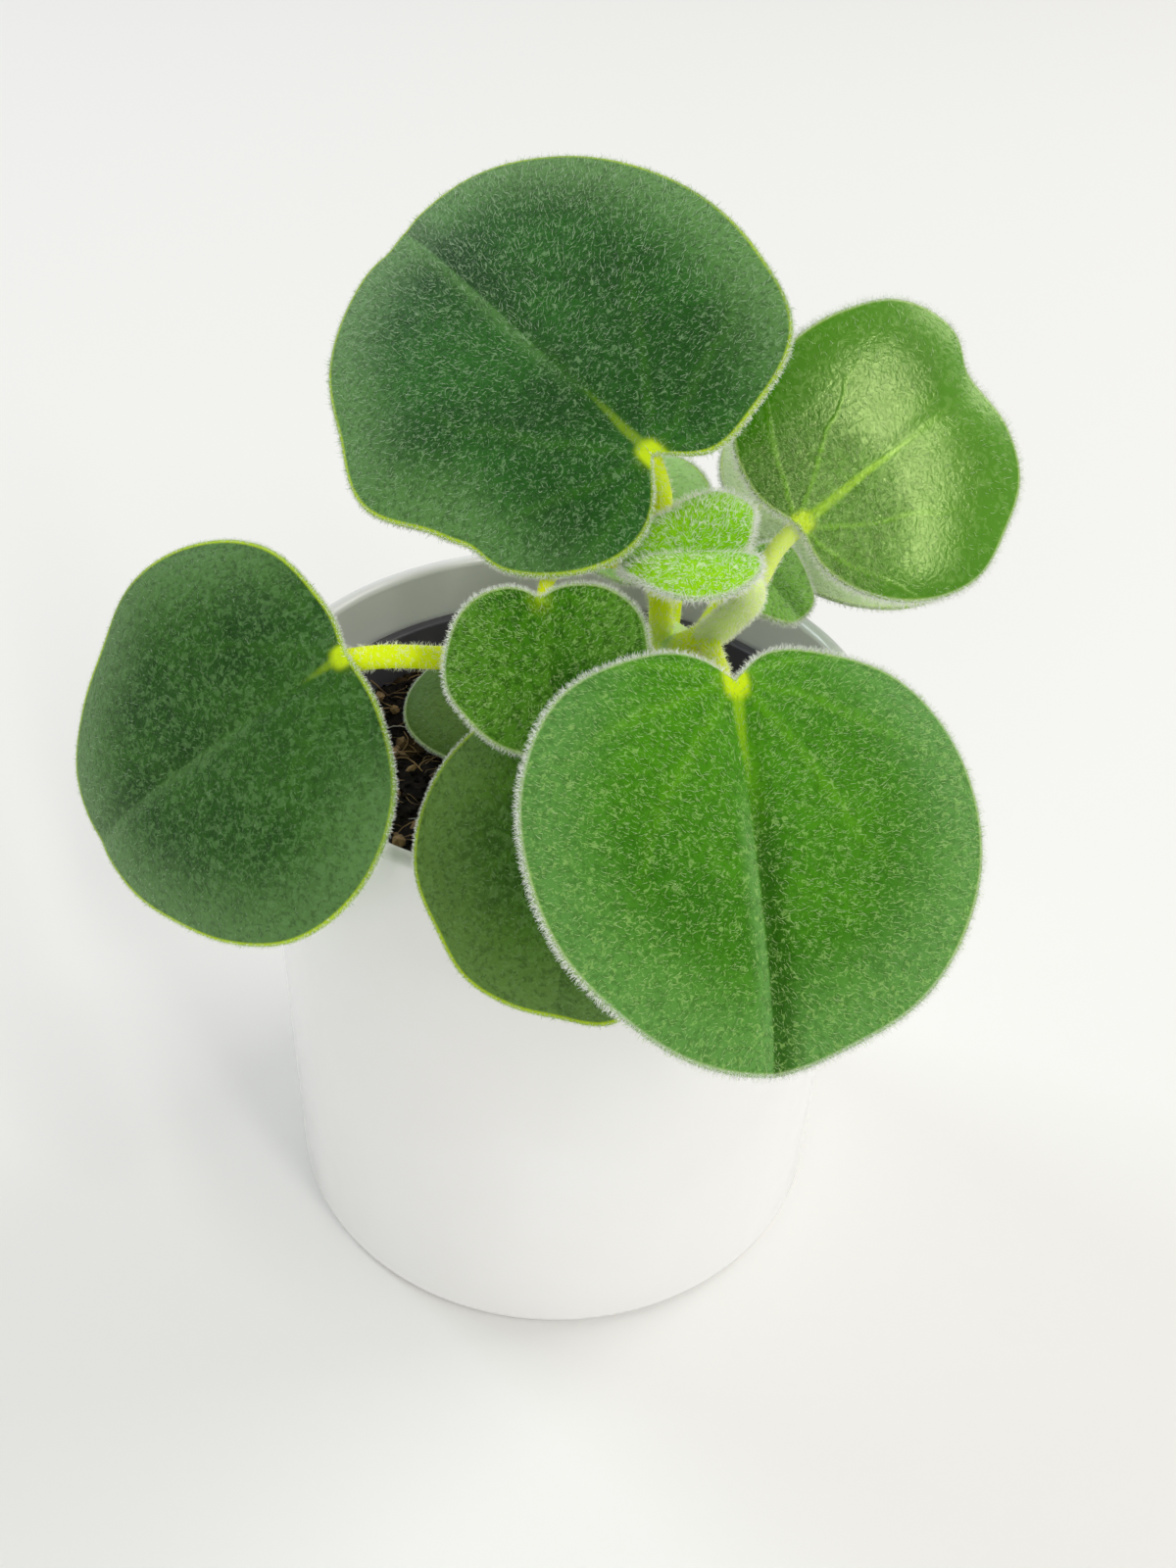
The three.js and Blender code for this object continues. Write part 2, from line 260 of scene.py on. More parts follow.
def aimCamera():
    data = bpy.data.cameras.new("camera")
    data.lens = camera["lens"]
    data.sensor_width = camera["sensor"]
    data.clip_start = camera["near"]
    eye = addObject("camera", data)
    down, aside, roll = camera["down"], camera["aside"], camera["roll"]
    ahead = Vector((sin(aside) * cos(down), cos(aside) * cos(down), -sin(down)))
    right = ahead.cross(Vector((0, 0, 1))).normalized()
    up = right.cross(ahead)
    side = right * cos(roll) + up * sin(roll)
    top = up * cos(roll) - right * sin(roll)
    turn = Matrix((side, top, -ahead)).transposed().to_4x4()
    eye.matrix_world = Matrix.Translation(camera["place"]) @ turn
    bpy.context.scene.camera = eye


studio = {
    "air": 0.64,  # brightness of the white surroundings
    "room": 0.38,  # the same behind the viewer, where the leaves face
    "roomAt": (0, -0.75, 0.66),  # the direction of the room
    "roomEdge": (0.35, 0.85),  # cosines of the angles where the air turns into the room
    "tint": (1.0, 0.99, 0.97),
    "floor": (0.9, 0.891, 0.873),
    "floorHalf": 4.0,  # m
    "target": (0, 0, 0.08),  # where the lamps point, m
    "lamps": [
        # name, place in m, width and height in m, turn in degrees, watts, colour
        ("windowLamp", (2.3, 1.2, 2.4), (1.8, 1.8), 0, 33.0, (1.0, 0.99, 0.97)),
        ("skyLamp", (-1.75, 1.1, 1.6), (0.8, 0.8), 0, 12.0, (0.78, 0.92, 1.0)),
        ("paneLamp", (1.3, -1.46, 1.85), (0.17, 1.9), -23, 21.0, (1.0, 1.0, 0.96)),
        ("frontLamp", (-0.3, -2.8, 1.35), (2.4, 1.2), 0, 14.0, (1.0, 0.995, 0.985)),
    ],
}


def lightStudio():
    bpy.context.scene.view_settings.view_transform = "Standard"
    world = bpy.data.worlds.new("surroundings")
    bpy.context.scene.world = world
    world.use_nodes = True
    drawing["tree"] = world.node_tree
    toward = put("ShaderNodeTexCoord").outputs["Generated"]
    facing = put("ShaderNodeVectorMath", {0: toward, 1: studio["roomAt"]}, operation="DOT_PRODUCT")
    strength = fade(facing.outputs["Value"], *studio["roomEdge"], studio["air"], studio["room"])
    background = world.node_tree.nodes["Background"]
    background.inputs["Color"].default_value = (*studio["tint"], 1.0)
    world.node_tree.links.new(strength, background.inputs["Strength"])
    for name, place, (width, height), turn, watts, colour in studio["lamps"]:
        lamp = bpy.data.lights.new(name, "AREA")
        lamp.shape = "RECTANGLE"
        lamp.size = width
        lamp.size_y = height
        lamp.energy = watts
        lamp.color = colour
        holder = addObject(name, lamp)
        holder.location = place
        aimed = (Vector(studio["target"]) - Vector(place)).to_track_quat("-Z", "Y").to_matrix()
        holder.rotation_euler = (aimed @ Matrix.Rotation(radians(turn), 3, "Z")).to_euler()
    print("studio lit by", len(studio["lamps"]), "lamps")


def layFloor():
    material = blankMaterial("paleFloor")[0]
    finishMaterial({"Base Color": studio["floor"], "Roughness": 0.75, "Specular IOR Level": 0.2})
    half = studio["floorHalf"]
    corners = [(-half, -half, 0), (half, -half, 0), (half, half, 0), (-half, half, 0)]
    meshPiece("floor", corners, [(0, 1, 2, 3)], material, smooth=False)


# The same blades as the solids, in mm and degrees. at: the junction. heading, rise: of the midrib.
# roll: of the right half. hub: from the junction to the middle. reach: from the hub to the margin,
# every 22.5 degrees from the tip round by the right. radius, stalk: of the stalk and its line.
# lime: how far lime runs along the midrib. limeEdge: how lime the margin is. hairs: of the down,
# per square mm. down, fringe: lengths of the hairs.
leaves = {
    "leaf_top": {
        "slot": "leaf_dark", "look": "blueGreen",
        "at": (8, -17.5, 121.5), "heading": 132, "rise": 18, "roll": 36, "hub": 21, "sinus": 10,
        "reach": [26.5, 27.5, 26.5, 25.5, 25.5, 26.5, 28.5, 26.5, 28, 28.5, 27, 24, 26, 24.5, 25.5, 26],
        "dents": [(-7, 5, 0.7), (-124, 6, 0.8)], "arch": 1.7, "cup": 2.2,
        "groove": 0.35, "crease": -0.45, "lime": 13, "limeEdge": 1.0,
        "hairs": 2.5, "down": 0.62, "fringe": 0.36, "sides": 160,
        "radius": 1.35, "stalk": [(11.5, -4.5, 88), (10.5, -10, 99.5), (10.3, -10.9, 106),
                                  (9.7, -12.1, 111.6), (9.2, -13.4, 115.6)]},
    "leaf_right": {
        "look": "glossyGreen",
        "at": (25, -11.5, 111), "heading": 30, "rise": 28, "roll": -48, "hub": 13.5, "sinus": 11,
        "reach": [14.5, 15.5, 16.5, 16.5, 17.5, 17, 16, 15, 14, 16.3, 18, 17, 17, 17.5, 18.5, 17.5],
        "dents": [(-10, 8, 0.9)], "arch": 1.8, "cup": 0.9,
        "groove": 0.12, "smoothFrom": 8.5, "veinWidth": 0.55, "lime": 19, "limeEdge": 0.35,
        "hairs": 6.5, "down": 0.5, "fringe": 0.72, "sideways": 0.3, "sides": 128,
        "radius": 1.1, "stalk": [(11.5, -5, 88), (15, -11, 94.5), (18, -14, 99.5),
                                 (20.9, -13.5, 104.5), (22.9, -11.6, 108)]},
    "leaf_left": {
        "slot": "leaf_dark", "look": "duskGreen",
        "at": (-24, -25.5, 101), "heading": 190, "rise": -33, "roll": 42, "hub": 20,
        "reach": [20.5, 21, 20, 20, 22.5, 23.5, 23.5, 21.5, 21.5, 21.5, 23.5, 24.5, 24, 22, 20.5, 20.5],
        "arch": 6.3, "cup": 2.2, "fold": 1.0,
        "groove": 0.4, "crease": -0.35, "lime": 7, "limeEdge": 1.0,
        "hairs": 1.6, "down": 0.36, "fringe": 0.34, "sides": 144,
        "radius": 1.35, "stalk": [(11.5, -5, 89), (2, -12, 93.5), (-7, -17, 95.5), (-14, -20, 97.5),
                                  (-20, -23.8, 99.8)]},
    "leaf_centre": {
        "look": "heartGreen",
        "at": (-3.3, -25.6, 108.9), "heading": 285, "rise": -46, "roll": -17, "hub": 7.6, "sinus": 15,
        "reach": [9.5, 9.5, 10, 10.5, 11.5, 11.5, 11.5, 10.5, 9.5, 9.5, 10.5, 11, 10.5, 11, 10.5, 10],
        "arch": 1.7, "cup": 0.8,
        "groove": 0.35, "crease": 0.5, "spot": 0.15, "lime": 1.5, "limeEdge": 0.3,
        "hairs": 4.5, "down": 0.45, "fringe": 0.5, "sideways": 0.6, "sides": 96,
        "radius": 0.85, "stalk": [(11.5, -5, 89), (10.3, -8.5, 98), (8, -11, 104.5), (3.2, -15.5, 108),
                                  (-2, -21, 109.3)]},
    "leaf_front": {
        "look": "freshGreen",
        "at": (16.5, -37, 106.5), "heading": 279, "rise": -34, "roll": 2, "hub": 18, "sinus": 11,
        "reach": [20.5, 20.5, 20.5, 21.5, 22.5, 24, 25, 24, 25, 24, 25.5, 25, 23.5, 22, 21, 20],
        "arch": 3.6, "cup": 1.8, "fold": 2.1, "foldFrom": 0.3, "foldTo": 0.8,
        "groove": 0.75, "crease": 0.85, "lime": 12, "limeEdge": 0.25,
        "hairs": 3.4, "down": 0.54, "fringe": 0.58, "sideways": 1.0, "sides": 160,
        "radius": 1.2, "stalk": [(12, -6, 89.5), (15.6, -11.9, 96), (16.3, -22.3, 99.2),
                                 (16.2, -31.5, 101.8)]},
    "leaf_lower": {
        "slot": "leaf_dark", "look": "shadeGreen",
        "at": (2.5, -34, 93.5), "heading": 261, "rise": -44, "roll": 0, "hub": 13.5,
        "reach": [13.5, 14, 15, 15.5, 17.5, 19, 20.5, 21.5, 17.5, 17.5, 18, 17, 16, 15, 14, 14.5],
        "arch": 2.9, "cup": 1.5,
        "groove": 0.25, "crease": 0.3, "lime": 4, "limeEdge": 1.0,
        "hairs": 0.8, "down": 0.4, "fringe": 0.3, "sideways": 0.3, "sides": 120,
        "radius": 1.25, "stalk": [(11, -3, 82), (12, -9, 85.5), (9, -20, 90), (5, -29, 92.6)]},
    "leaf_young": {
        "slot": "leaf_young", "look": "limeGreen",
        "at": (18.1, -21.6, 112.6), "heading": 175, "rise": -4, "roll": 14, "hub": 5.9,
        "reach": [7.3, 7.3, 6.8, 6.5, 7.8, 9.3, 9.3, 7.8, 8.3, 8.8, 8.8, 8.8, 8.3, 7.3, 6.8, 7.3],
        "arch": 0.9, "cup": 1.5, "fold": 0.8, "puff": 2,
        "groove": 0.2, "spot": 0, "lime": 1, "limeEdge": 0.2,
        "hairs": 8.0, "down": 0.65, "fringe": 0.78, "sideways": 0.0, "sides": 104,
        "radius": 1.7, "stalk": [(12, -7, 91), (15.4, -13, 97), (17.6, -18, 102.5),
                                 (19.3, -21, 107.5)]},
    "leaf_small": {
        "look": "springGreen",
        "at": (22.1, 5.1, 98.1), "heading": 331, "rise": -39, "roll": -5, "hub": 5.3,
        "reach": [5, 5, 5, 5.5, 6.5, 7, 7, 6.5, 6, 6.5, 7, 7.5, 6.5, 6, 6, 5.5],
        "fold": 0.9, "groove": 0.3, "crease": 0.5, "spot": 0.2, "lime": 2, "limeEdge": 0.5,
        "hairs": 7.0, "down": 0.5, "fringe": 0.6, "sides": 72,
        "radius": 0.9, "stalk": [(11, -3, 85), (14.2, -4, 89.5), (17.5, -1, 93.2), (20.3, 3.2, 95.9)]},
    "leaf_back": {
        "look": "backGreen",
        "at": (13, 5.5, 97.5), "heading": 125, "rise": 15, "roll": 30, "hub": 8.5,
        "reach": [11.5, 11.5, 11.5, 11, 10.5, 10, 10, 9.5, 9.5, 9.5, 9.5, 9, 9.5, 10.5, 11, 11.5],
        "arch": 1.4, "cup": 0.9, "lime": 3, "limeEdge": 0.6,
        "hairs": 3.5, "down": 0.5, "fringe": 0.6, "sides": 88,
        "radius": 1.05, "stalk": [(11, -3, 85), (12.5, -1.5, 91), (13, 2.5, 95.5)]},
    "leaf_far": {
        "slot": "leaf_pale", "look": "paleGreen",
        "at": (22.5, 20.5, 97), "heading": 20, "rise": 6, "roll": -22, "hub": 18,
        "reach": [18.5, 18.5, 19, 19.5, 20.5, 20.5, 20, 19.5, 19, 19.5, 20, 20.5, 20.5, 19.5, 19, 18.5],
        "arch": 2.1, "cup": 1.1, "lime": 6, "limeEdge": 0.7,
        "hairs": 2.0, "down": 0.45, "fringe": 0.55, "sides": 120,
        "radius": 1.2, "stalk": [(11, -2, 82), (15.5, 2, 86.5), (19.5, 9, 89.5), (22.3, 16, 92.4)]},
    "leaf_soil": {
        "slot": "leaf_dark", "look": "mossGreen",
        "at": (-6.6, 7, 75.4), "heading": 178, "rise": -8, "roll": 20, "hub": 8,
        "reach": [8.5, 8.5, 8.5, 9, 10, 10.5, 10, 9, 8.5, 9, 10, 10.5, 10, 9, 8.5, 8.5],
        "arch": 1, "cup": 0.8, "spot": 0, "lime": 2, "limeEdge": 0.3,
        "hairs": 1.5, "down": 0.4, "fringe": 0.2, "sides": 80,
        "radius": 0.95, "stalk": [(9.2, 1.5, 72), (3, 2.5, 74.5), (-4, 5, 76.2)]},
}

# what a leaf has where its own row says nothing else
usualLeaf = {
    "slot": "leaf_green",
    "sinus": 14,  # half width of the notch at the junction
    "dents": (),  # bites as (angle, half width, depth)
    "arch": 0, "cup": 0, "fold": 0,  # how far the tip, the margin and the halves bend
    "foldFrom": -0.3, "foldTo": 0.2,  # where the fold grows, in lengths of the blade
    "puff": 0,  # how far the two halves bulge
    "groove": 0,  # depth along the midrib
    "crease": 0,  # how strongly light and shade are painted on the midrib's flanks, above 0 with the painted light on the right
    "smoothFrom": 99,  # mm from the junction beyond which the down thins out
    "veinWidth": 1.2,
    "spot": 1,  # how lime the junction is
    "sideways": 0.2,  # how far the down lies away from the midrib
}
leaves = {name: {**usualLeaf, **leaf} for name, leaf in leaves.items()}

bladeShape = {
    "middle": 1.4,  # thickness in mm at the hub and at the margin
    "edge": 0.7,
    "rings": 24,
    "spacing": 0.85,  # below 1 the rings stand closer near the margin
    "rimSteps": 5,
    "sharpness": 1.4,  # of the notch at the junction
    "crease": 0.06,  # half width of the crease at the midrib, as a share of the width
    "puff": 0.1,  # how fast a puffed half rises beside it
    "backArch": 0.5,  # share of the arch that the part behind the junction has
    "grooveWidth": 1.3,  # mm
    "grooveRun": 6,  # mm over which the groove deepens
    "junction": 5.0,  # mm around the junction where the margin doesn't curl down
    "uvSpan": 80.0,  # mm that the blade's own map covers
    "uvStart": (0.5, 0.25), # where the junction lies on it
}


def bladeFrame(leaf):
    # right, along the midrib, and out of the upper face
    heading, rise, roll = (radians(leaf[key]) for key in ("heading", "rise", "roll"))
    east, north = cos(heading), sin(heading)
    along = Vector((east * cos(rise), north * cos(rise), sin(rise)))
    level = Vector((-east * sin(rise), -north * sin(rise), cos(rise)))
    flat = along.cross(level)
    right = flat * cos(roll) + level * sin(roll)
    out = level * cos(roll) - flat * sin(roll)
    return right, along, out


def marginRadius(leaf, angle):
    # from the hub to the margin: a smooth curve through the reach, less the notch and the dents
    reach, count = leaf["reach"], len(leaf["reach"])
    turn = (angle / fullTurn) % 1 * count
    first = int(turn)
    f = turn - first
    before, here, after, last = (reach[(first + step) % count] for step in (-1, 0, 1, 2))
    smooth = 0.5 * (2 * here + (after - before) * f
                    + (2 * before - 5 * here + 4 * after - last) * f ** 2
                    + (3 * here - before - 3 * after + last) * f ** 3)
    fromBase = pi - abs((angle + pi) % fullTurn - pi)
    notch = exp(-(fromBase / radians(leaf["sinus"])) ** bladeShape["sharpness"])
    bites = 0
    for place, width, depth in leaf["dents"]:
        off = (angle - radians(place) + pi) % fullTurn - pi
        bites += depth * exp(-(off / radians(width)) ** 2)
    return smooth - (reach[count // 2] - leaf["hub"]) * notch - bites


def bladeRise(leaf, across, along, share):
    # height over the flat blade, share is 0 at the hub and 1 at the margin
    length = leaf["hub"] + leaf["reach"][0]
    width = leaf["reach"][4] + leaf["reach"][12]
    crease = bladeShape["crease"] * width
    opened = (hypot(across, crease) - crease) / (width / 2)
    ramp = clamped((along / length - leaf["foldFrom"]) / (leaf["foldTo"] - leaf["foldFrom"]))
    droop = leaf["arch"] * (along / length) ** 2 * (1 if along > 0 else bladeShape["backArch"])
    bulge = leaf["puff"] * across ** 2 / (across ** 2 + (bladeShape["puff"] * width) ** 2)
    curl = 1 - exp(-(across ** 2 + along ** 2) / bladeShape["junction"] ** 2)
    sunk = leaf["groove"] * exp(-(across / bladeShape["grooveWidth"]) ** 2)
    sunk *= clamped(along / bladeShape["grooveRun"])
    return leaf["fold"] * opened * ramp + bulge - droop - leaf["cup"] * curl * share ** 4 - sunk


def makeBlade(name, leaf, material):
    right, ahead, out = bladeFrame(leaf)
    start = Vector(leaf["at"])
    sides, rings, steps = leaf["sides"], bladeShape["rings"], bladeShape["rimSteps"]
    half = bladeShape["edge"] / 2
    points, faces, facts = [], [], []

    def add(angle, inset, share, lift, zone):
        radius = marginRadius(leaf, angle)
        distance = radius * share - inset
        across = distance * sin(angle)
        along = leaf["hub"] + distance * cos(angle)
        rise = bladeRise(leaf, across, along, share)
        points.append((start + right * across + ahead * along + out * (rise + lift)) * mm)
        facts.append((across, along, radius - distance, zone, angle, lift))

    def face(side):
        # rings from the hub out to just inside the rim
        for ring in range(rings + 1):
            share = (ring / rings) ** bladeShape["spacing"]
            thick = half + (bladeShape["middle"] - bladeShape["edge"]) / 2 * (1 - share ** 4)
            for i in range(sides if ring else 1):
                add(fullTurn * i / sides, half * share, share, side * thick, side)

    def ringStart(ring):
        return 1 + (ring - 1) * sides

    face(1)
    for step in range(1, steps):
        turn = pi * (0.5 - step / steps)
        for i in range(sides):
            add(fullTurn * i / sides, half * (1 - cos(turn)), 1, half * sin(turn), 0)
    under = len(points)
    face(-1)
    loops = [ringStart(rings + step) for step in range(steps)] + [under + ringStart(rings)]
    for i in range(sides):
        j = (i + 1) % sides
        faces.append((0, 1 + j, 1 + i))
        faces.append((under, under + 1 + i, under + 1 + j))
        for ring in range(1, rings):
            a, b = ringStart(ring), ringStart(ring + 1)
            faces.append((a + i, a + j, b + j, b + i))
            faces.append((under + a + i, under + b + i, under + b + j, under + a + j))
        for a, b in zip(loops, loops[1:]):
            faces.append((a + i, a + j, b + j, b + i))
    blade = meshPiece(name, points, faces, material)
    mesh = blade.data
    uv = mesh.uv_layers.new(name="blade")
    span, (middle, foot) = bladeShape["uvSpan"], bladeShape["uvStart"]
    for loop in mesh.loops:
        across, along = facts[loop.vertex_index][:2]
        uv.data[loop.index].uv = (middle + across / span, foot + along / span)
    writeNumbers(mesh, "inset", [max(fact[2], 0) for fact in facts])
    writeNumbers(mesh, "upper", [0.5 + 0.5 * fact[3] for fact in facts])
    writeHairs(mesh, leaf, facts, right, ahead)
    return blade


def writeNumbers(mesh, name, values):
    attribute = mesh.attributes.new(name, "FLOAT", "POINT")
    attribute.data.foreach_set("value", values)


def writeVectors(mesh, name, values):
    attribute = mesh.attributes.new(name, "FLOAT_VECTOR", "POINT")
    attribute.data.foreach_set("vector", values)


hairs = {
    "rim": 52.0,  # hairs per square mm on the upper half of the rim
    "rimInset": 0.3,  # mm, how far in and how far down they grow
    "rimBelow": 0.15,
    "under": 1.0,  # down per square mm on the underside
    "thinOver": 6,  # mm over which the down thins out, and how much of it goes
    "thinMost": 0.85,
    "swirl": 0.3,  # swirls of the down per mm, and how strong they are
    "swirlPull": 0.6,
    "outPull": 0.6,
    "length": (0.5, 1.25),  # shortest and longest, as shares of the length given
    "stray": 1.5,  # how many bend sideways
    "white": (0.97, 0.99, 0.93),
}
# width in mm, and how far the tips bend, how steep the hairs stand, how well they follow the comb
# and how much they stray
coats = {
    "down": {"width": 0.075, "Bend": 0.4, "Lift": 0.3, "Comb": 1.0, "Ruffle": 0.3},
    "fringe": {"width": 0.068, "Bend": 0.3, "Lift": 1.0, "Comb": 0.3, "Ruffle": 0.5},
    "stalk": {"width": 0.065, "Bend": 0.3, "Lift": 1.0, "Comb": 1.0, "Ruffle": 0.6},
}


def writeHairs(mesh, leaf, facts, right, ahead):
    # where the fringe and the down stand, and which way they lie
    fringe, down, comb = [], [], []
    for across, along, inset, zone, angle, lift in facts:
        onRim = inset < hairs["rimInset"] and lift > -hairs["rimBelow"]
        fringe.append(hairs["rim"] if onRim else 0.0)
        beyond = max(hypot(across, along) - leaf["smoothFrom"], 0)
        thinned = 1 - min(beyond / hairs["thinOver"], hairs["thinMost"])
        down.append(leaf["hairs"] * thinned if zone >= 0 else hairs["under"])
        outward = right * sin(angle) + ahead * cos(angle)
        swirl = noise.noise_vector(Vector((across, along, leaf["at"][2])) * hairs["swirl"])
        aside = max(-1, min(1, across / 2)) * leaf["sideways"]
        comb.extend(outward * hairs["outPull"] + right * aside
                    + (right * swirl.x + ahead * swirl.y) * hairs["swirlPull"])
    writeNumbers(mesh, "fringeDensity", fringe)
    writeNumbers(mesh, "downDensity", down)
    writeVectors(mesh, "comb", comb)


def scaled(vector, amount):
    return out("ShaderNodeVectorMath", {0: vector, "Scale": amount}, operation="SCALE")


def added(first, second):
    return out("ShaderNodeVectorMath", {0: first, 1: second}, operation="ADD")


def hairTree(densityName):
    # short curved hairs on every face, leaning along "comb" and bent over at the tip
    tree, given = addTree("hairsBy_" + densityName,
                          "Length", "Thickness", "Bend", "Lift", "Comb", "Ruffle")
    spots = scatter(given, named(densityName))
    cone = out("GeometryNodeMeshCone",
               {"Vertices": 3, "Side Segments": 2, "Fill Segments": 1, "Radius Top": 0.25,
                "Radius Bottom": 1.0, "Depth": 1.0}, fill_type="NGON")
    # the cone is a hair of unit length, made thin and bent before it is copied
    parts = put("ShaderNodeSeparateXYZ", {0: out("GeometryNodeInputPosition")}).outputs
    bent = times(calc("POWER", parts[2], 2.0), given["Bend"])
    along = calc("ADD", times(parts[0], given["Thickness"]), bent)
    place = out("ShaderNodeCombineXYZ",
                {0: along, 1: times(parts[1], given["Thickness"]), 2: parts[2]})
    hair = out("GeometryNodeSetPosition", {"Geometry": cone, "Position": place})
    wild = randomVector((-1, -1, -1), (1, 1, 1), 7)
    lean = added(scaled(spots["Normal"], given["Lift"]),
                 scaled(named("comb", "FLOAT_VECTOR"), given["Comb"]))
    lean = added(lean, scaled(wild, given["Ruffle"]))
    upright = out("FunctionNodeAlignRotationToVector", {"Vector": lean}, axis="Z")
    # some bend back to the leaf and some away from it
    sideways = added(spots["Normal"], scaled(wild, hairs["stray"]))
    laid = out("FunctionNodeAlignRotationToVector",
               {"Rotation": upright, "Vector": sideways}, axis="X", pivot_axis="Z")
    size = times(given["Length"], randomBetween(*hairs["length"], 3))
    copyOver(given, spots, hair, laid, size)
    return tree


def growHairs(base, name, tree, coat, length, seed, material):
    # length in mm
    size = {"Length": length * mm, "Thickness": coat["width"] / 2 / length}
    return growOn(base, name, tree, {**coat, **size, "Seed": seed, "Material": material})


def countHairs(piece):
    return len(piece.data.polygons) // 8  # a hair has eight faces


def hairMaterial(name, colour, sheen=0.0):
    material, where = blankMaterial(name)
    tone = mixColour(speckle(where, 400, 1), darker(colour, 0.88), colour)
    finishMaterial({"Base Color": tone, "Roughness": 0.5, "Specular IOR Level": 0.1,
                          "Sheen Weight": sheen, "Sheen Roughness": 0.6,
                          "Subsurface Weight": 0.7, "Subsurface Radius": (1.0, 1.0, 1.0),
                          "Subsurface Scale": 0.0003})
    return material


# deep and light: the two greens of the skin. The sheen green: painted sheen, a paler tone near the
# margin. down: of its
# hairs. vein, veinAmount: the lighter veins and how much they show. gloss: the roughness. shine:
# how much it reflects. pored, wrinkled: how much its dark pores and pale wrinkles show.
leafLooks = {
    "blueGreen": {
        "deep": (0.008, 0.068, 0.003), "light": (0.019, 0.13, 0.007), "paintedSheen": (0.15, 0.335, 0.09),
        "down": (0.25, 0.43, 0.19), "vein": (0.04, 0.17, 0.008), "veinAmount": 0.5,
        "gloss": 0.38, "shine": 0.16, "pored": 0.35},
    "duskGreen": {
        "deep": (0.010, 0.06, 0.004), "light": (0.03, 0.12, 0.008), "paintedSheen": (0.12, 0.26, 0.07),
        "down": (0.13, 0.28, 0.085), "vein": (0.045, 0.16, 0.01), "veinAmount": 0.4,
        "gloss": 0.38, "shine": 0.16, "pored": 0.35, "wrinkled": 0.4},
    "freshGreen": {
        "deep": (0.032, 0.17, 0.001), "light": (0.066, 0.275, 0.002), "paintedSheen": (0.14, 0.34, 0.08),
        "down": (0.36, 0.6, 0.16), "vein": (0.13, 0.4, 0.005), "veinAmount": 0.5,
        "gloss": 0.42, "shine": 0.08, "pored": 0.27},
    "heartGreen": {
        "deep": (0.016, 0.11, 0.001), "light": (0.05, 0.21, 0.002), "paintedSheen": (0.1, 0.28, 0.02),
        "down": (0.36, 0.6, 0.16), "vein": (0.09, 0.28, 0.004), "veinAmount": 0.35,
        "gloss": 0.45, "shine": 0.06, "pored": 0.5},
    "glossyGreen": {
        "deep": (0.03, 0.15, 0.001), "light": (0.065, 0.24, 0.001), "paintedSheen": (0.06, 0.25, 0.001),
        "down": (0.34, 0.56, 0.16), "vein": (0.2, 0.5, 0.006), "veinAmount": 0.6,
        "gloss": 0.23, "shine": 1.0, "shineTint": (0.82, 1.0, 0.42), "pored": 0.4, "wrinkled": 0.16},
    "shadeGreen": {
        "deep": (0.026, 0.1, 0.001), "light": (0.06, 0.18, 0.002), "paintedSheen": (0.13, 0.25, 0.05),
        "down": (0.16, 0.32, 0.08), "vein": (0.12, 0.32, 0.005), "veinAmount": 0.3,
        "gloss": 0.36, "shine": 0.16, "pored": 0.35, "wrinkled": 0.3},
    "mossGreen": {
        "deep": (0.06, 0.13, 0.012), "light": (0.12, 0.22, 0.025), "paintedSheen": (0.1, 0.2, 0.03),
        "down": (0.14, 0.26, 0.07), "vein": (0.1, 0.2, 0.02), "veinAmount": 0.2,
        "gloss": 0.45, "shine": 0.15, "pored": 0.25},
    "limeGreen": {
        "deep": (0.09, 0.36, 0.001), "light": (0.25, 0.64, 0.002), "paintedSheen": (0.36, 0.76, 0.006),
        "down": (0.98, 1.0, 0.9), "vein": (0.3, 0.6, 0.01), "veinAmount": 0.2,
        "gloss": 0.5, "shine": 0.05, "pored": 0.15},
    "springGreen": {
        "deep": (0.09, 0.33, 0.012), "light": (0.2, 0.5, 0.035), "paintedSheen": (0.25, 0.55, 0.06),
        "down": (0.45, 0.7, 0.25), "vein": (0.34, 0.6, 0.06), "veinAmount": 0.4,
        "gloss": 0.4, "shine": 0.15, "pored": 0.5},
    "backGreen": {
        "deep": (0.28, 0.6, 0.08), "light": (0.46, 0.78, 0.2), "paintedSheen": (0.5, 0.8, 0.3),
        "down": (0.6, 0.8, 0.4), "vein": (0.5, 0.75, 0.1), "veinAmount": 0.4,
        "gloss": 0.4, "shine": 0.15, "pored": 0.15},
    "paleGreen": {
        "deep": (0.4, 0.56, 0.24), "light": (0.58, 0.73, 0.4), "paintedSheen": (0.6, 0.75, 0.42),
        "down": (0.8, 0.87, 0.7), "vein": (0.6, 0.72, 0.35), "veinAmount": 0.3,
        "gloss": 0.5, "shine": 0.15, "pored": 0.15},
}
usualLook = {"wrinkled": 0, "shineTint": (1, 1, 1)}
leafLooks = {name: {**usualLook, **look} for name, look in leafLooks.items()}

skin = {
    # spots per metre of each pattern
    "waver": 90, "clouds": 60, "strokes": 1700, "pores": 1500, "wrinkles": 1150, "patches": 50,
    "halfAngle": 19,  # degrees, half the angle between two veins
    "wavering": 0.25,  # radians that a vein strays
    "veinCurve": 0.3,  # how much the veins curve towards the tip
    "leastFelt": 0.16,  # felt left where the down is thinned out
    "whitish": (0.82, 0.9, 0.72), "lime": (0.6, 0.82, 0.004),
    "under": (0.2, 0.36, 0.14), "underVein": (0.36, 0.5, 0.16),
    # relief in mm
    "veinRelief": 0.06, "poreRelief": -0.05, "strokeRelief": 0.12, "wrinkleRelief": 0.25,
}


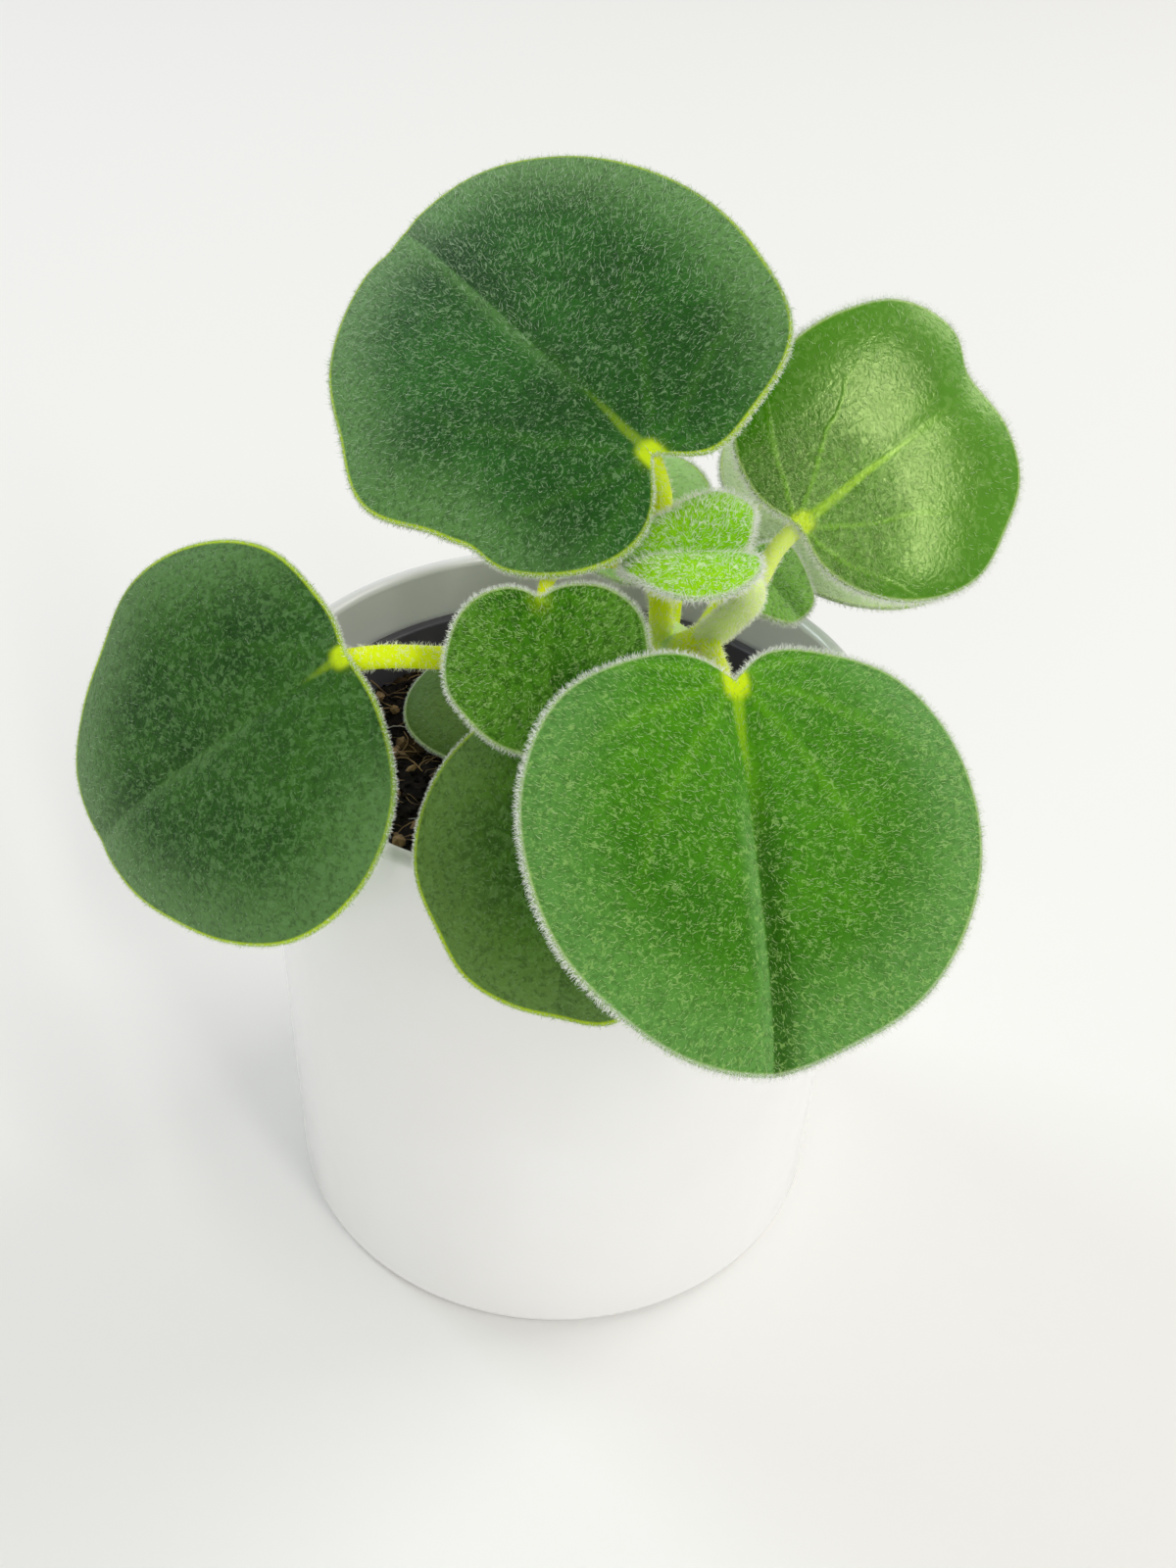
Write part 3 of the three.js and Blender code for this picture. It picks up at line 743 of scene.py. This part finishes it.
def veinPattern(leaf, where, across, along, far, length):
    # palmate veins: rays from the junction that curve towards the tip, and a straighter midrib
    spots = speckle(where, skin["waver"], 2)
    wander = times(calc("SUBTRACT", spots, 0.5), skin["wavering"])
    ray = calc("ADD", calc("ARCTAN2", across, along), wander)
    curve = calc("ADD", 1.0, times(far, skin["veinCurve"] / length))
    offRay = calc("PINGPONG", times(ray, curve), radians(skin["halfAngle"]))
    veins = times(fade(times(offRay, far), 0.05, leaf["veinWidth"], 1, 0),
                  fade(far, length * 0.2, length * 0.85, 0.9, 0))
    offMid = calc("ABSOLUTE", calc("ADD", across, times(wander, 2.5)))
    midrib = times(fade(offMid, 0.1, 0.6, 1, 0), fade(far, length * 0.3, length * 0.85, 1, 0.15))
    return calc("MAXIMUM", veins, midrib), offMid


def paintedCreaseLight(leaf, across, along, length):
    # the crease of the midrib: painted light on one flank and painted shade in the valley on the other
    side = times(across, 1 if leaf["crease"] > 0 else -1)
    outer = fade(along, length * 0.2, length * 0.5, 0, abs(leaf["crease"]))
    lit = times(fade(side, 2.4, 0.5), fade(side, 0, 0.4), outer)
    paintedValleyShade = times(fade(side, -3.6, -0.5), fade(side, 0.3, 0), outer)
    return lit, paintedValleyShade


def limeMarks(leaf, where, along, far, inset, offMid):
    # a stripe along the midrib, and the spot at the junction with the line on the margin
    run = leaf["lime"]
    halfWidth = fade(far, 0, run, 0.8, 0.3)
    stripe = times(fade(calc("DIVIDE", offMid, halfWidth), 0.2, 1.2, 0.7, 0),
                   fade(far, run * 0.3, run, 1, 0), calc("GREATER_THAN", along, 0.0))
    spot = times(fade(far, 1.1, 2.6, leaf["spot"], 0), fade(offMid, 0.8, 1.7, 1, 0.1))
    edge = times(fade(inset, 0.2, 0.6, leaf["limeEdge"], 0),
                 fade(speckle(where, skin["patches"], 2), 0.35, 0.6, 0.4, 1))
    return stripe, calc("MAXIMUM", spot, edge)


def leafSkin(name, leaf):
    look = leafLooks[leaf["look"]]
    material, where = blankMaterial(name)
    own = put("ShaderNodeSeparateXYZ", {0: out("ShaderNodeUVMap", uv_map="blade")})
    across, along = (times(calc("SUBTRACT", own.outputs[axis], start), bladeShape["uvSpan"])
                     for axis, start in enumerate(bladeShape["uvStart"]))
    squares = [calc("POWER", part, 2.0) for part in (across, along)]
    far = calc("SQRT", calc("ADD", *squares))
    inset = stored("inset")
    length = leaf["hub"] + leaf["reach"][0]
    veining, offMid = veinPattern(leaf, where, across, along, far, length)
    lit, paintedValleyShade = paintedCreaseLight(leaf, across, along, length)
    stripe, limed = limeMarks(leaf, where, along, far, inset, offMid)
    clouds = speckle(where, skin["clouds"], 4, 0.55)
    # painted sheen: the skin turns paler towards the margin and over the outer part of the blade
    paintedSheen = times(fade(inset, 0.5, 11, 0.75, 0), fade(far, length * 0.15, length * 0.5))
    whitish = fade(inset, 0.15, 0.5, 0.8 * (1 - leaf["limeEdge"]), 0)
    # the felt between the hairs: short pale strokes over darker pores, and soft wrinkles
    felted = fade(far, leaf["smoothFrom"], leaf["smoothFrom"] + hairs["thinOver"], 1, skin["leastFelt"])
    strokes = times(speckle(where, skin["strokes"], 2, 0.7, 1.2), felted)
    pores = times(fade(speckle(where, skin["pores"], 2, 0.6), 0.36, 0.52, 1, 0), felted)
    wrinkles = speckle(where, skin["wrinkles"], 2, 0.5, 0.8)
    colour = layered(look["deep"], [
        (fade(clouds, 0.32, 0.68), look["light"]),
        (times(veining, look["veinAmount"]), look["vein"]),
        (paintedSheen, look["paintedSheen"]),
        # painted light on one flank of the crease, then painted shade in the valley on the other side
        (lit, look["paintedSheen"]),
        (paintedValleyShade, darker(look["deep"], 0.6)),
        (times(pores, look["pored"]), darker(look["deep"], 0.4)),
        (fade(strokes, 0.52, 0.68, 0, 0.5), look["down"]),
        (fade(wrinkles, 0.5, 0.62, 0, look["wrinkled"]), look["down"]),
        (whitish, skin["whitish"]),
        (stripe, look["vein"]),
        (times(stripe, 0.4), skin["lime"]),
        (limed, skin["lime"]),
    ])
    # the underside is paler and plain
    below = mixColour(times(veining, 0.5), skin["under"], skin["underVein"])
    finishMaterial({
        "Base Color": mixColour(stored("upper"), below, colour),
        "Roughness": fade(strokes, 0.4, 0.7, look["gloss"], look["gloss"] - 0.08),
        "Specular IOR Level": look["shine"], "Specular Tint": look["shineTint"],
        "Subsurface Weight": 0.08, "Subsurface Radius": (0.5, 1.0, 0.1), "Subsurface Scale": 0.001,
        "Sheen Weight": 0.06, "Sheen Roughness": 0.45, "Sheen Tint": (0.75, 1.0, 0.8),
    }, [(veining, skin["veinRelief"]), (pores, skin["poreRelief"]), (strokes, skin["strokeRelief"]),
        (wrinkles, skin["wrinkleRelief"] * look["wrinkled"])])
    return material


def growLeaves(downTree, fringeTree):
    downs = {name: hairMaterial(name + "Down", look["down"]) for name, look in leafLooks.items()}
    white = hairMaterial("fringeWhite", hairs["white"], 1.0)
    for seed, (name, leaf) in enumerate(leaves.items()):
        blade = makeBlade(name + "_blade", leaf, leafSkin(name + "_skin", leaf))
        down = growHairs(blade, name + "_down", downTree, coats["down"], leaf["down"],
                         seed, downs[leaf["look"]])
        fringe = growHairs(blade, name + "_fringe", fringeTree, coats["fringe"], leaf["fringe"],
                           20 + seed, white)
        handOver(blade, leaf["slot"], name)
        handOver(down, leaf["slot"])
        handOver(fringe, leaf["slot"])
        print("leaf", name, countHairs(down), "hairs of down and", countHairs(fringe), "on the rim")


stemShape = {
    "line": [(9, 2, 57), (9, 2, 65), (9.5, 0.5, 74), (10.8, -3, 84), (12.2, -8, 94)],  # mm
    "radius": 2.6,
    "node": ((12.8, -7.2, 91.6), 3.3),  # place and radius of the swelling where the stalks part
    "steps": 8, "sides": 18,
    "flare": 0.25, "flareRun": 0.25,  # how much thicker a stalk starts, over what share of it
    "ahead": 0.8, "below": 0.3,  # a stalk's end: radii along the midrib, mm down
    "grain": 0.24,  # mm between the points of the joined skin
    "soften": 0.5, "softenTimes": 8,
    "hairLength": 0.52,  # mm
    "hairs": 6.0, "lowHairs": 1.2, "youngHairs": 17.0,  # per square mm
    "bareBelow": 0.069, "lowBelow": 0.088,  # m over the floor, where no hairs and few hairs grow
    "pale": {"leaf_young": 1.0, "leaf_right": 0.6},  # how pale these stalks are
    "paleFrom": 0.3,  # as a share of the stalk
    "deepLime": (0.68, 0.9, 0.004), "lightLime": (0.84, 0.96, 0.008), "dashes": (0.86, 0.95, 0.25),
    "foot": (0.62, 0.84, 0.34), "young": (0.74, 0.9, 0.42), "down": (0.96, 0.98, 0.84),
}


def smoothLine(points):
    # Catmull-Rom curve through the points
    spots = [Vector(p) for p in points]
    spots = [2 * spots[0] - spots[1]] + spots + [2 * spots[-1] - spots[-2]]
    line = []
    for k in range(1, len(spots) - 2):
        a, b, c, d = spots[k - 1:k + 3]
        for i in range(stemShape["steps"]):
            f = i / stemShape["steps"]
            line.append(0.5 * (2 * b + (c - a) * f + (2 * a - 5 * b + 4 * c - d) * f ** 2
                               + (3 * b - a - 3 * c + d) * f ** 3))
    line.append(spots[-2])
    return line


def tubeInto(solid, line, radii):
    # a closed tube of round sections along the line
    sides = stemShape["sides"]
    turns = [fullTurn * k / sides for k in range(sides)]
    rings = []
    side = None
    for i, spot in enumerate(line):
        ahead = (line[min(i + 1, len(line) - 1)] - line[max(i - 1, 0)]).normalized()
        side = (side or ahead.orthogonal()).cross(ahead).cross(ahead).normalized() * -1
        other = ahead.cross(side)
        rings.append([solid.verts.new((spot + (side * cos(a) + other * sin(a)) * radii[i]) * mm)
                      for a in turns])
    for lower, upper in zip(rings, rings[1:]):
        for k in range(sides):
            solid.faces.new((lower[k], lower[(k + 1) % sides], upper[(k + 1) % sides], upper[k]))
    solid.faces.new(list(reversed(rings[0])))
    solid.faces.new(rings[-1])


def stalkLine(leaf):
    # ends just under the blade, lower the flatter the stalk arrives
    ahead, out = bladeFrame(leaf)[1:]
    junction = Vector(leaf["at"])
    steepness = (junction - Vector(leaf["stalk"][-1])).normalized().dot(out)
    below = stemShape["below"] + leaf["radius"] * sqrt(1 - steepness ** 2)
    end = junction + ahead * (leaf["radius"] * stemShape["ahead"]) - out * below
    return smoothLine([*leaf["stalk"], end])


def growStem(tree):
    solid = bmesh.new()
    trunk = smoothLine(stemShape["line"])
    tubeInto(solid, trunk, [stemShape["radius"]] * len(trunk))
    place, radius = stemShape["node"]
    bmesh.ops.create_icosphere(solid, subdivisions=3, radius=radius * mm,
                               matrix=Matrix.Translation(Vector(place) * mm))
    routes = {name: stalkLine(leaf) for name, leaf in leaves.items()}
    for name, line in routes.items():
        shares = [i / (len(line) - 1) for i in range(len(line))]
        flares = [1 + stemShape["flare"] * max(0, 1 - f / stemShape["flareRun"]) for f in shares]
        tubeInto(solid, line, [leaves[name]["radius"] * flare for flare in flares])
    bmesh.ops.recalc_face_normals(solid, faces=solid.faces)
    mesh = bpy.data.meshes.new("stem_flesh")
    solid.to_mesh(mesh)
    solid.free()
    stem = addObject("stem_flesh", mesh)
    remesh = stem.modifiers.new("join", "REMESH")
    remesh.mode = "VOXEL"
    remesh.voxel_size = stemShape["grain"] * mm
    soften = stem.modifiers.new("soften", "SMOOTH")
    soften.factor = stemShape["soften"]
    soften.iterations = stemShape["softenTimes"]
    harden(stem)
    mesh = stem.data
    mesh.polygons.foreach_set("use_smooth", [True] * len(mesh.polygons))
    mesh.materials.clear()
    mesh.materials.append(stalkFlesh())
    markStem(mesh, routes, trunk)
    fuzz = growHairs(stem, "stem_hairs", tree, coats["stalk"], stemShape["hairLength"],
                     40, hairMaterial("stalkDown", stemShape["down"], 1.0))
    handOver(stem, "stem", "stem")
    handOver(fuzz, "stem")
    print("stem", len(mesh.polygons), "faces,", countHairs(fuzz), "hairs")


def markStem(mesh, routes, trunk):
    # how far along its stalk each point is, how pale it is, and how many hairs stand there
    spots = [(spot * mm, i / len(line), stemShape["pale"].get(name, 0))
             for name, line in routes.items() for i, spot in enumerate(line)]
    spots += [(spot * mm, -0.6, 0) for spot in trunk]
    tree = KDTree(len(spots))
    for i, spot in enumerate(spots):
        tree.insert(spot[0], i)
    tree.balance()
    along, young, density = [], [], []
    for vertex in mesh.vertices:
        _, share, pale = spots[tree.find(vertex.co)[1]]
        height = vertex.co.z
        outer = share > stemShape["paleFrom"]
        along.append(share)
        young.append(pale if outer else 0.0)
        if height <= stemShape["bareBelow"]:
            density.append(0)
        elif height < stemShape["lowBelow"] or share < 0:
            density.append(stemShape["lowHairs"])
        else:
            density.append(stemShape["youngHairs"] if outer and pale > 0.9 else stemShape["hairs"])
    writeNumbers(mesh, "alongStalk", along)
    writeNumbers(mesh, "youngStalk", young)
    writeNumbers(mesh, "downDensity", density)
    writeVectors(mesh, "comb", [0.0] * (3 * len(along)))


def stalkFlesh():
    material, where = blankMaterial("stalkFlesh")
    dashes = speckle(where, 1500, 2, 0.5)
    colour = layered(stemShape["deepLime"], [
        (speckle(where, 350, 3, 0.6), stemShape["lightLime"]),
        (fade(dashes, 0.55, 0.7, 0, 0.5), stemShape["dashes"]),
        (fade(stored("alongStalk"), -0.05, 0.25, 0.85, 0), stemShape["foot"]),
        (times(stored("youngStalk"), 0.75), stemShape["young"]),
    ])
    finishMaterial({"Base Color": colour, "Roughness": 0.5, "Specular IOR Level": 0.1,
                          "Subsurface Weight": 0.6, "Subsurface Radius": (1.0, 0.9, 0.25),
                          "Subsurface Scale": 0.0016},
                   [(speckle(where, 1400, 2), 0.06)])
    return material


soil = {
    "level": 67.5, "crown": 1.2, "base": 5.6, "edge": 33.9, "foot": 26.7,  # mm
    "lump": 0.9, "lumpScale": 0.22,  # height in mm, and how many to the mm
    "grain": 0.45, "grainScale": 1.4,
    "stemAt": (9, 2),
    "dip": 1.2, "dipAt": 2.6, "dipWidth": 1.6,  # mm, the ring-shaped dip about the stem
    "rings": 90, "sides": 220,
    "litterFrom": 0.06,  # m over the floor
    "black": (0.003, 0.0025, 0.002), "peat": (0.02, 0.014, 0.009), "brown": (0.12, 0.075, 0.03),
    "darkBark": (0.06, 0.034, 0.015), "paleBark": (0.36, 0.23, 0.095), "root": (0.7, 0.66, 0.55),
}
# what lies on the soil: its tree, its material, pieces per square mm, and sizes in mm
litter = {
    "soil_crumbs": ("crumbs", "earth", {"Density": 0.45, "Size": 0.75, "Seed": 1}),
    "soil_bark": ("crumbs", "bark", {"Density": 0.05, "Size": 1.5, "Seed": 3}),
    "soil_coir": ("fibres", "bark", {"Density": 0.09, "Length": 6.0, "Thickness": 0.09, "Seed": 5}),
    "soil_roots": ("fibres", "root", {"Density": 0.006, "Length": 6.0, "Thickness": 0.05, "Seed": 8}),
}


def soilHeight(x, y):
    crown = soil["crown"] * (1 - (hypot(x, y) / soil["edge"]) ** 2)
    lumps = noise.fractal(Vector((x, y, 3)) * soil["lumpScale"], 0.8, 2.1, 4) * soil["lump"]
    grains = abs(noise.noise(Vector((x, y, 9)) * soil["grainScale"])) * soil["grain"]
    away = hypot(x - soil["stemAt"][0], y - soil["stemAt"][1])
    dip = soil["dip"] * exp(-((away - soil["dipAt"]) / soil["dipWidth"]) ** 2)
    return soil["level"] + crown + lumps + grains - dip


def makeSoil():
    sides, rings = soil["sides"], soil["rings"]
    turns = [fullTurn * i / sides for i in range(sides)]
    points, faces = [(0, 0, soilHeight(0, 0) * mm)], []
    for ring in range(1, rings + 1):
        radius = soil["edge"] * ring / rings
        for turn in turns:
            x, y = radius * cos(turn), radius * sin(turn)
            points.append((x * mm, y * mm, soilHeight(x, y) * mm))
    foot, base = soil["foot"] * mm, soil["base"] * mm
    points += [(foot * cos(turn), foot * sin(turn), base) for turn in turns]
    points.append((0, 0, base))
    last = len(points) - 1
    for i in range(sides):
        j = (i + 1) % sides
        faces.append((0, 1 + i, 1 + j))
        for ring in range(rings):
            a, b = 1 + ring * sides, 1 + (ring + 1) * sides
            faces.append((a + i, b + i, b + j, a + j))
        faces.append((last, last - sides + j, last - sides + i))
    ground = meshPiece("soil_bed", points, faces, earthMaterial())
    writeNumbers(ground.data, "crumbs", [1.0 if p[2] > soil["litterFrom"] else 0.0 for p in points])
    return ground


def earthMaterial():
    material, where = blankMaterial("dampPeat")
    grain = speckle(where, 900, 5, 0.7)
    patches = speckle(where, 130, 3, 0.6)
    colour = layered(soil["black"], [(fade(grain, 0.42, 0.7), soil["peat"]),
                                           (fade(patches, 0.55, 0.72, 0, 0.6), soil["brown"])])
    finishMaterial({"Base Color": colour, "Roughness": 0.85, "Specular IOR Level": 0.12},
                   [(patches, 0.5), (grain, 0.35)])
    return material


def barkMaterial():
    material, where = blankMaterial("coir")
    tone = fade(speckle(where, 260, 2), 0.3, 0.7)
    colour = mixColour(tone, soil["darkBark"], soil["paleBark"])
    finishMaterial({"Base Color": colour, "Roughness": 0.8}, [(speckle(where, 2200, 3), 0.08)])
    return material


def randomTurn(low, high):
    return out("FunctionNodeEulerToRotation", {0: randomVector(low, high, 2)})


def crumbTree():
    # crumbs of peat scattered over the soil's top
    tree, given = addTree("crumbs", "Density", "Size")
    normal = out("GeometryNodeInputNormal")
    upward = calc("GREATER_THAN", put("ShaderNodeSeparateXYZ", {0: normal}).outputs[2], 0.2)
    spots = scatter(given, named("crumbs"), upward, given["Density"])
    ball = out("GeometryNodeMeshIcoSphere", {"Radius": 1.0, "Subdivisions": 1})
    shape = randomVector((0.35, 0.3, 0.25), (1.1, 0.9, 0.7), 5)
    size = scaled(shape, times(given["Size"], mm))
    copyOver(given, spots, ball, randomTurn((0, 0, 0), (6.3, 6.3, 6.3)), size)
    return tree


def fibreTree():
    # loose fibres: short bent strands lying on the soil
    tree, given = addTree("fibres", "Density", "Length", "Thickness")
    spots = scatter(given, named("crumbs"), given["Density"])
    bow = out("GeometryNodeCurvePrimitiveBezierSegment",
              {"Resolution": 7, "Start": (-0.5, 0, 0), "Start Handle": (-0.2, 0.35, 0.12),
               "End Handle": (0.1, -0.4, 0.16), "End": (0.5, 0.1, 0.02)})
    radius = calc("DIVIDE", given["Thickness"], given["Length"])
    ring = out("GeometryNodeCurvePrimitiveCircle", {"Resolution": 4, "Radius": radius})
    strand = out("GeometryNodeCurveToMesh", {"Curve": bow, "Profile Curve": ring, "Fill Caps": True})
    size = times(given["Length"], mm, randomBetween(0.4, 1.3, 4))
    copyOver(given, spots, strand, randomTurn((-0.5, -0.5, 0), (0.5, 0.5, 6.3)), size)
    return tree


def fillSoil():
    ground = makeSoil()
    trees = {"crumbs": crumbTree(), "fibres": fibreTree()}
    materials = {"earth": ground.data.materials[0], "bark": barkMaterial(),
                 "root": hairMaterial("rootWhite", soil["root"])}
    grown = [growOn(ground, name, trees[kind], {**values, "Material": materials[material]})
             for name, (kind, material, values) in litter.items()]
    handOver(ground, "soil", "soil")
    for piece in grown:
        handOver(piece, "soil")
    print("soil with", len(grown[0].data.polygons) // 20, "crumbs")  # a crumb has 20 faces


coverPot = {
    "radius": 40.0, "height": 81.0, "wall": 2.4, "floor": 4.0,  # mm
    "lip": 1.1, "foot": 2.0,  # radii of the rounded edges
    "sides": 192,
    "white": (0.875, 0.868, 0.857), "cloud": (0.905, 0.902, 0.896),
}
nurseryPot = {
    "base": 4.3, "height": 69.0, "foot": 28.0, "top": 36.0, "wall": 1.0,  # mm
    "rim": 36.8, "rimInner": 35.0, "rimDepth": 3.5,
    "footEdge": 1, "rimUnder": 0.3, "bead": 0.5, "rimInside": 0.4,  # radii of the rounded edges
    "step": 0.02,  # from the wall to the rim
    "sides": 160,
    "dark": (0.07, 0.064, 0.08), "dusty": (0.16, 0.14, 0.14),
}


def glazeMaterial():
    material, where = blankMaterial("whiteGlaze")
    cloud = fade(speckle(where, 25, 2), 0.3, 0.7)
    gloss = fade(speckle(where, 160, 3), 0.3, 0.7, 0.24, 0.27)
    finishMaterial({"Base Color": mixColour(cloud, coverPot["white"], coverPot["cloud"]),
                          "Roughness": gloss, "Specular IOR Level": 0.5,
                          "Coat Weight": 0.3, "Coat Roughness": 0.15})
    return material


def plasticMaterial():
    material, where = blankMaterial("darkPlastic")
    dust = speckle(where, 140, 4, 0.6)
    dusty = fade(dust, 0.5, 0.75, 0, 0.35)
    finishMaterial({"Base Color": mixColour(dusty, nurseryPot["dark"], nurseryPot["dusty"]),
                          "Roughness": fade(dust, 0.3, 0.7, 0.38, 0.6)},
                   [(speckle(where, 1200, 3), 0.02)])
    return material


def throwCoverPot():
    p = coverPot
    inner, lipAt = p["radius"] - p["wall"], p["height"] - p["lip"]
    profile = [(0, 0), (p["radius"] * 0.5, 0)]
    profile += roundCorner(p["radius"] - p["foot"], p["foot"], p["foot"], -90, 0)
    profile += [(p["radius"], p["height"] * 0.5)]
    profile += roundCorner(p["radius"] - p["lip"], lipAt, p["lip"], 0, 90, 8)
    profile += roundCorner(inner + p["lip"], lipAt, p["lip"], 90, 180, 8)
    profile += roundCorner(inner - p["foot"], p["floor"] + p["foot"], p["foot"], 0, -90)
    profile += [(0, p["floor"])]
    handOver(turned("cover_pot_glazed", profile, glazeMaterial(), p["sides"]), "glaze", "cover_pot")
    print("cover pot turned")


def mouldNurseryPot():
    p = nurseryPot
    base, top, wall = p["base"], p["base"] + p["height"], p["wall"]
    rimFoot = top - p["rimDepth"]
    wide = p["foot"] + (p["top"] - p["foot"]) * (rimFoot - base) / p["height"]
    under, inside, edge = p["rimUnder"], p["rimInside"], p["footEdge"]
    profile = [(0, base)]
    profile += roundCorner(p["foot"] - edge, base + edge, edge, -90, -8, 4)
    profile += [(wide, rimFoot - p["step"])]
    profile += roundCorner(p["rim"] - under, rimFoot + under, under, -90, 0, 3)
    profile += roundCorner(p["rim"] - p["bead"], top - p["bead"], p["bead"], 0, 90, 5)
    profile += roundCorner(p["rimInner"] + inside, top - inside, inside, 90, 180, 4)
    profile += [(wide - wall, rimFoot), (p["foot"] - wall, base + wall), (0, base + wall)]
    liner = turned("nursery_pot_plastic", profile, plasticMaterial(), p["sides"])
    handOver(liner, "nursery_plastic", "nursery_pot")
    print("nursery pot moulded")


aimCamera()
lightStudio()
layFloor()
throwCoverPot()
mouldNurseryPot()
fillSoil()
downOn = hairTree("downDensity")
growStem(downOn)
growLeaves(downOn, hairTree("fringeDensity"))
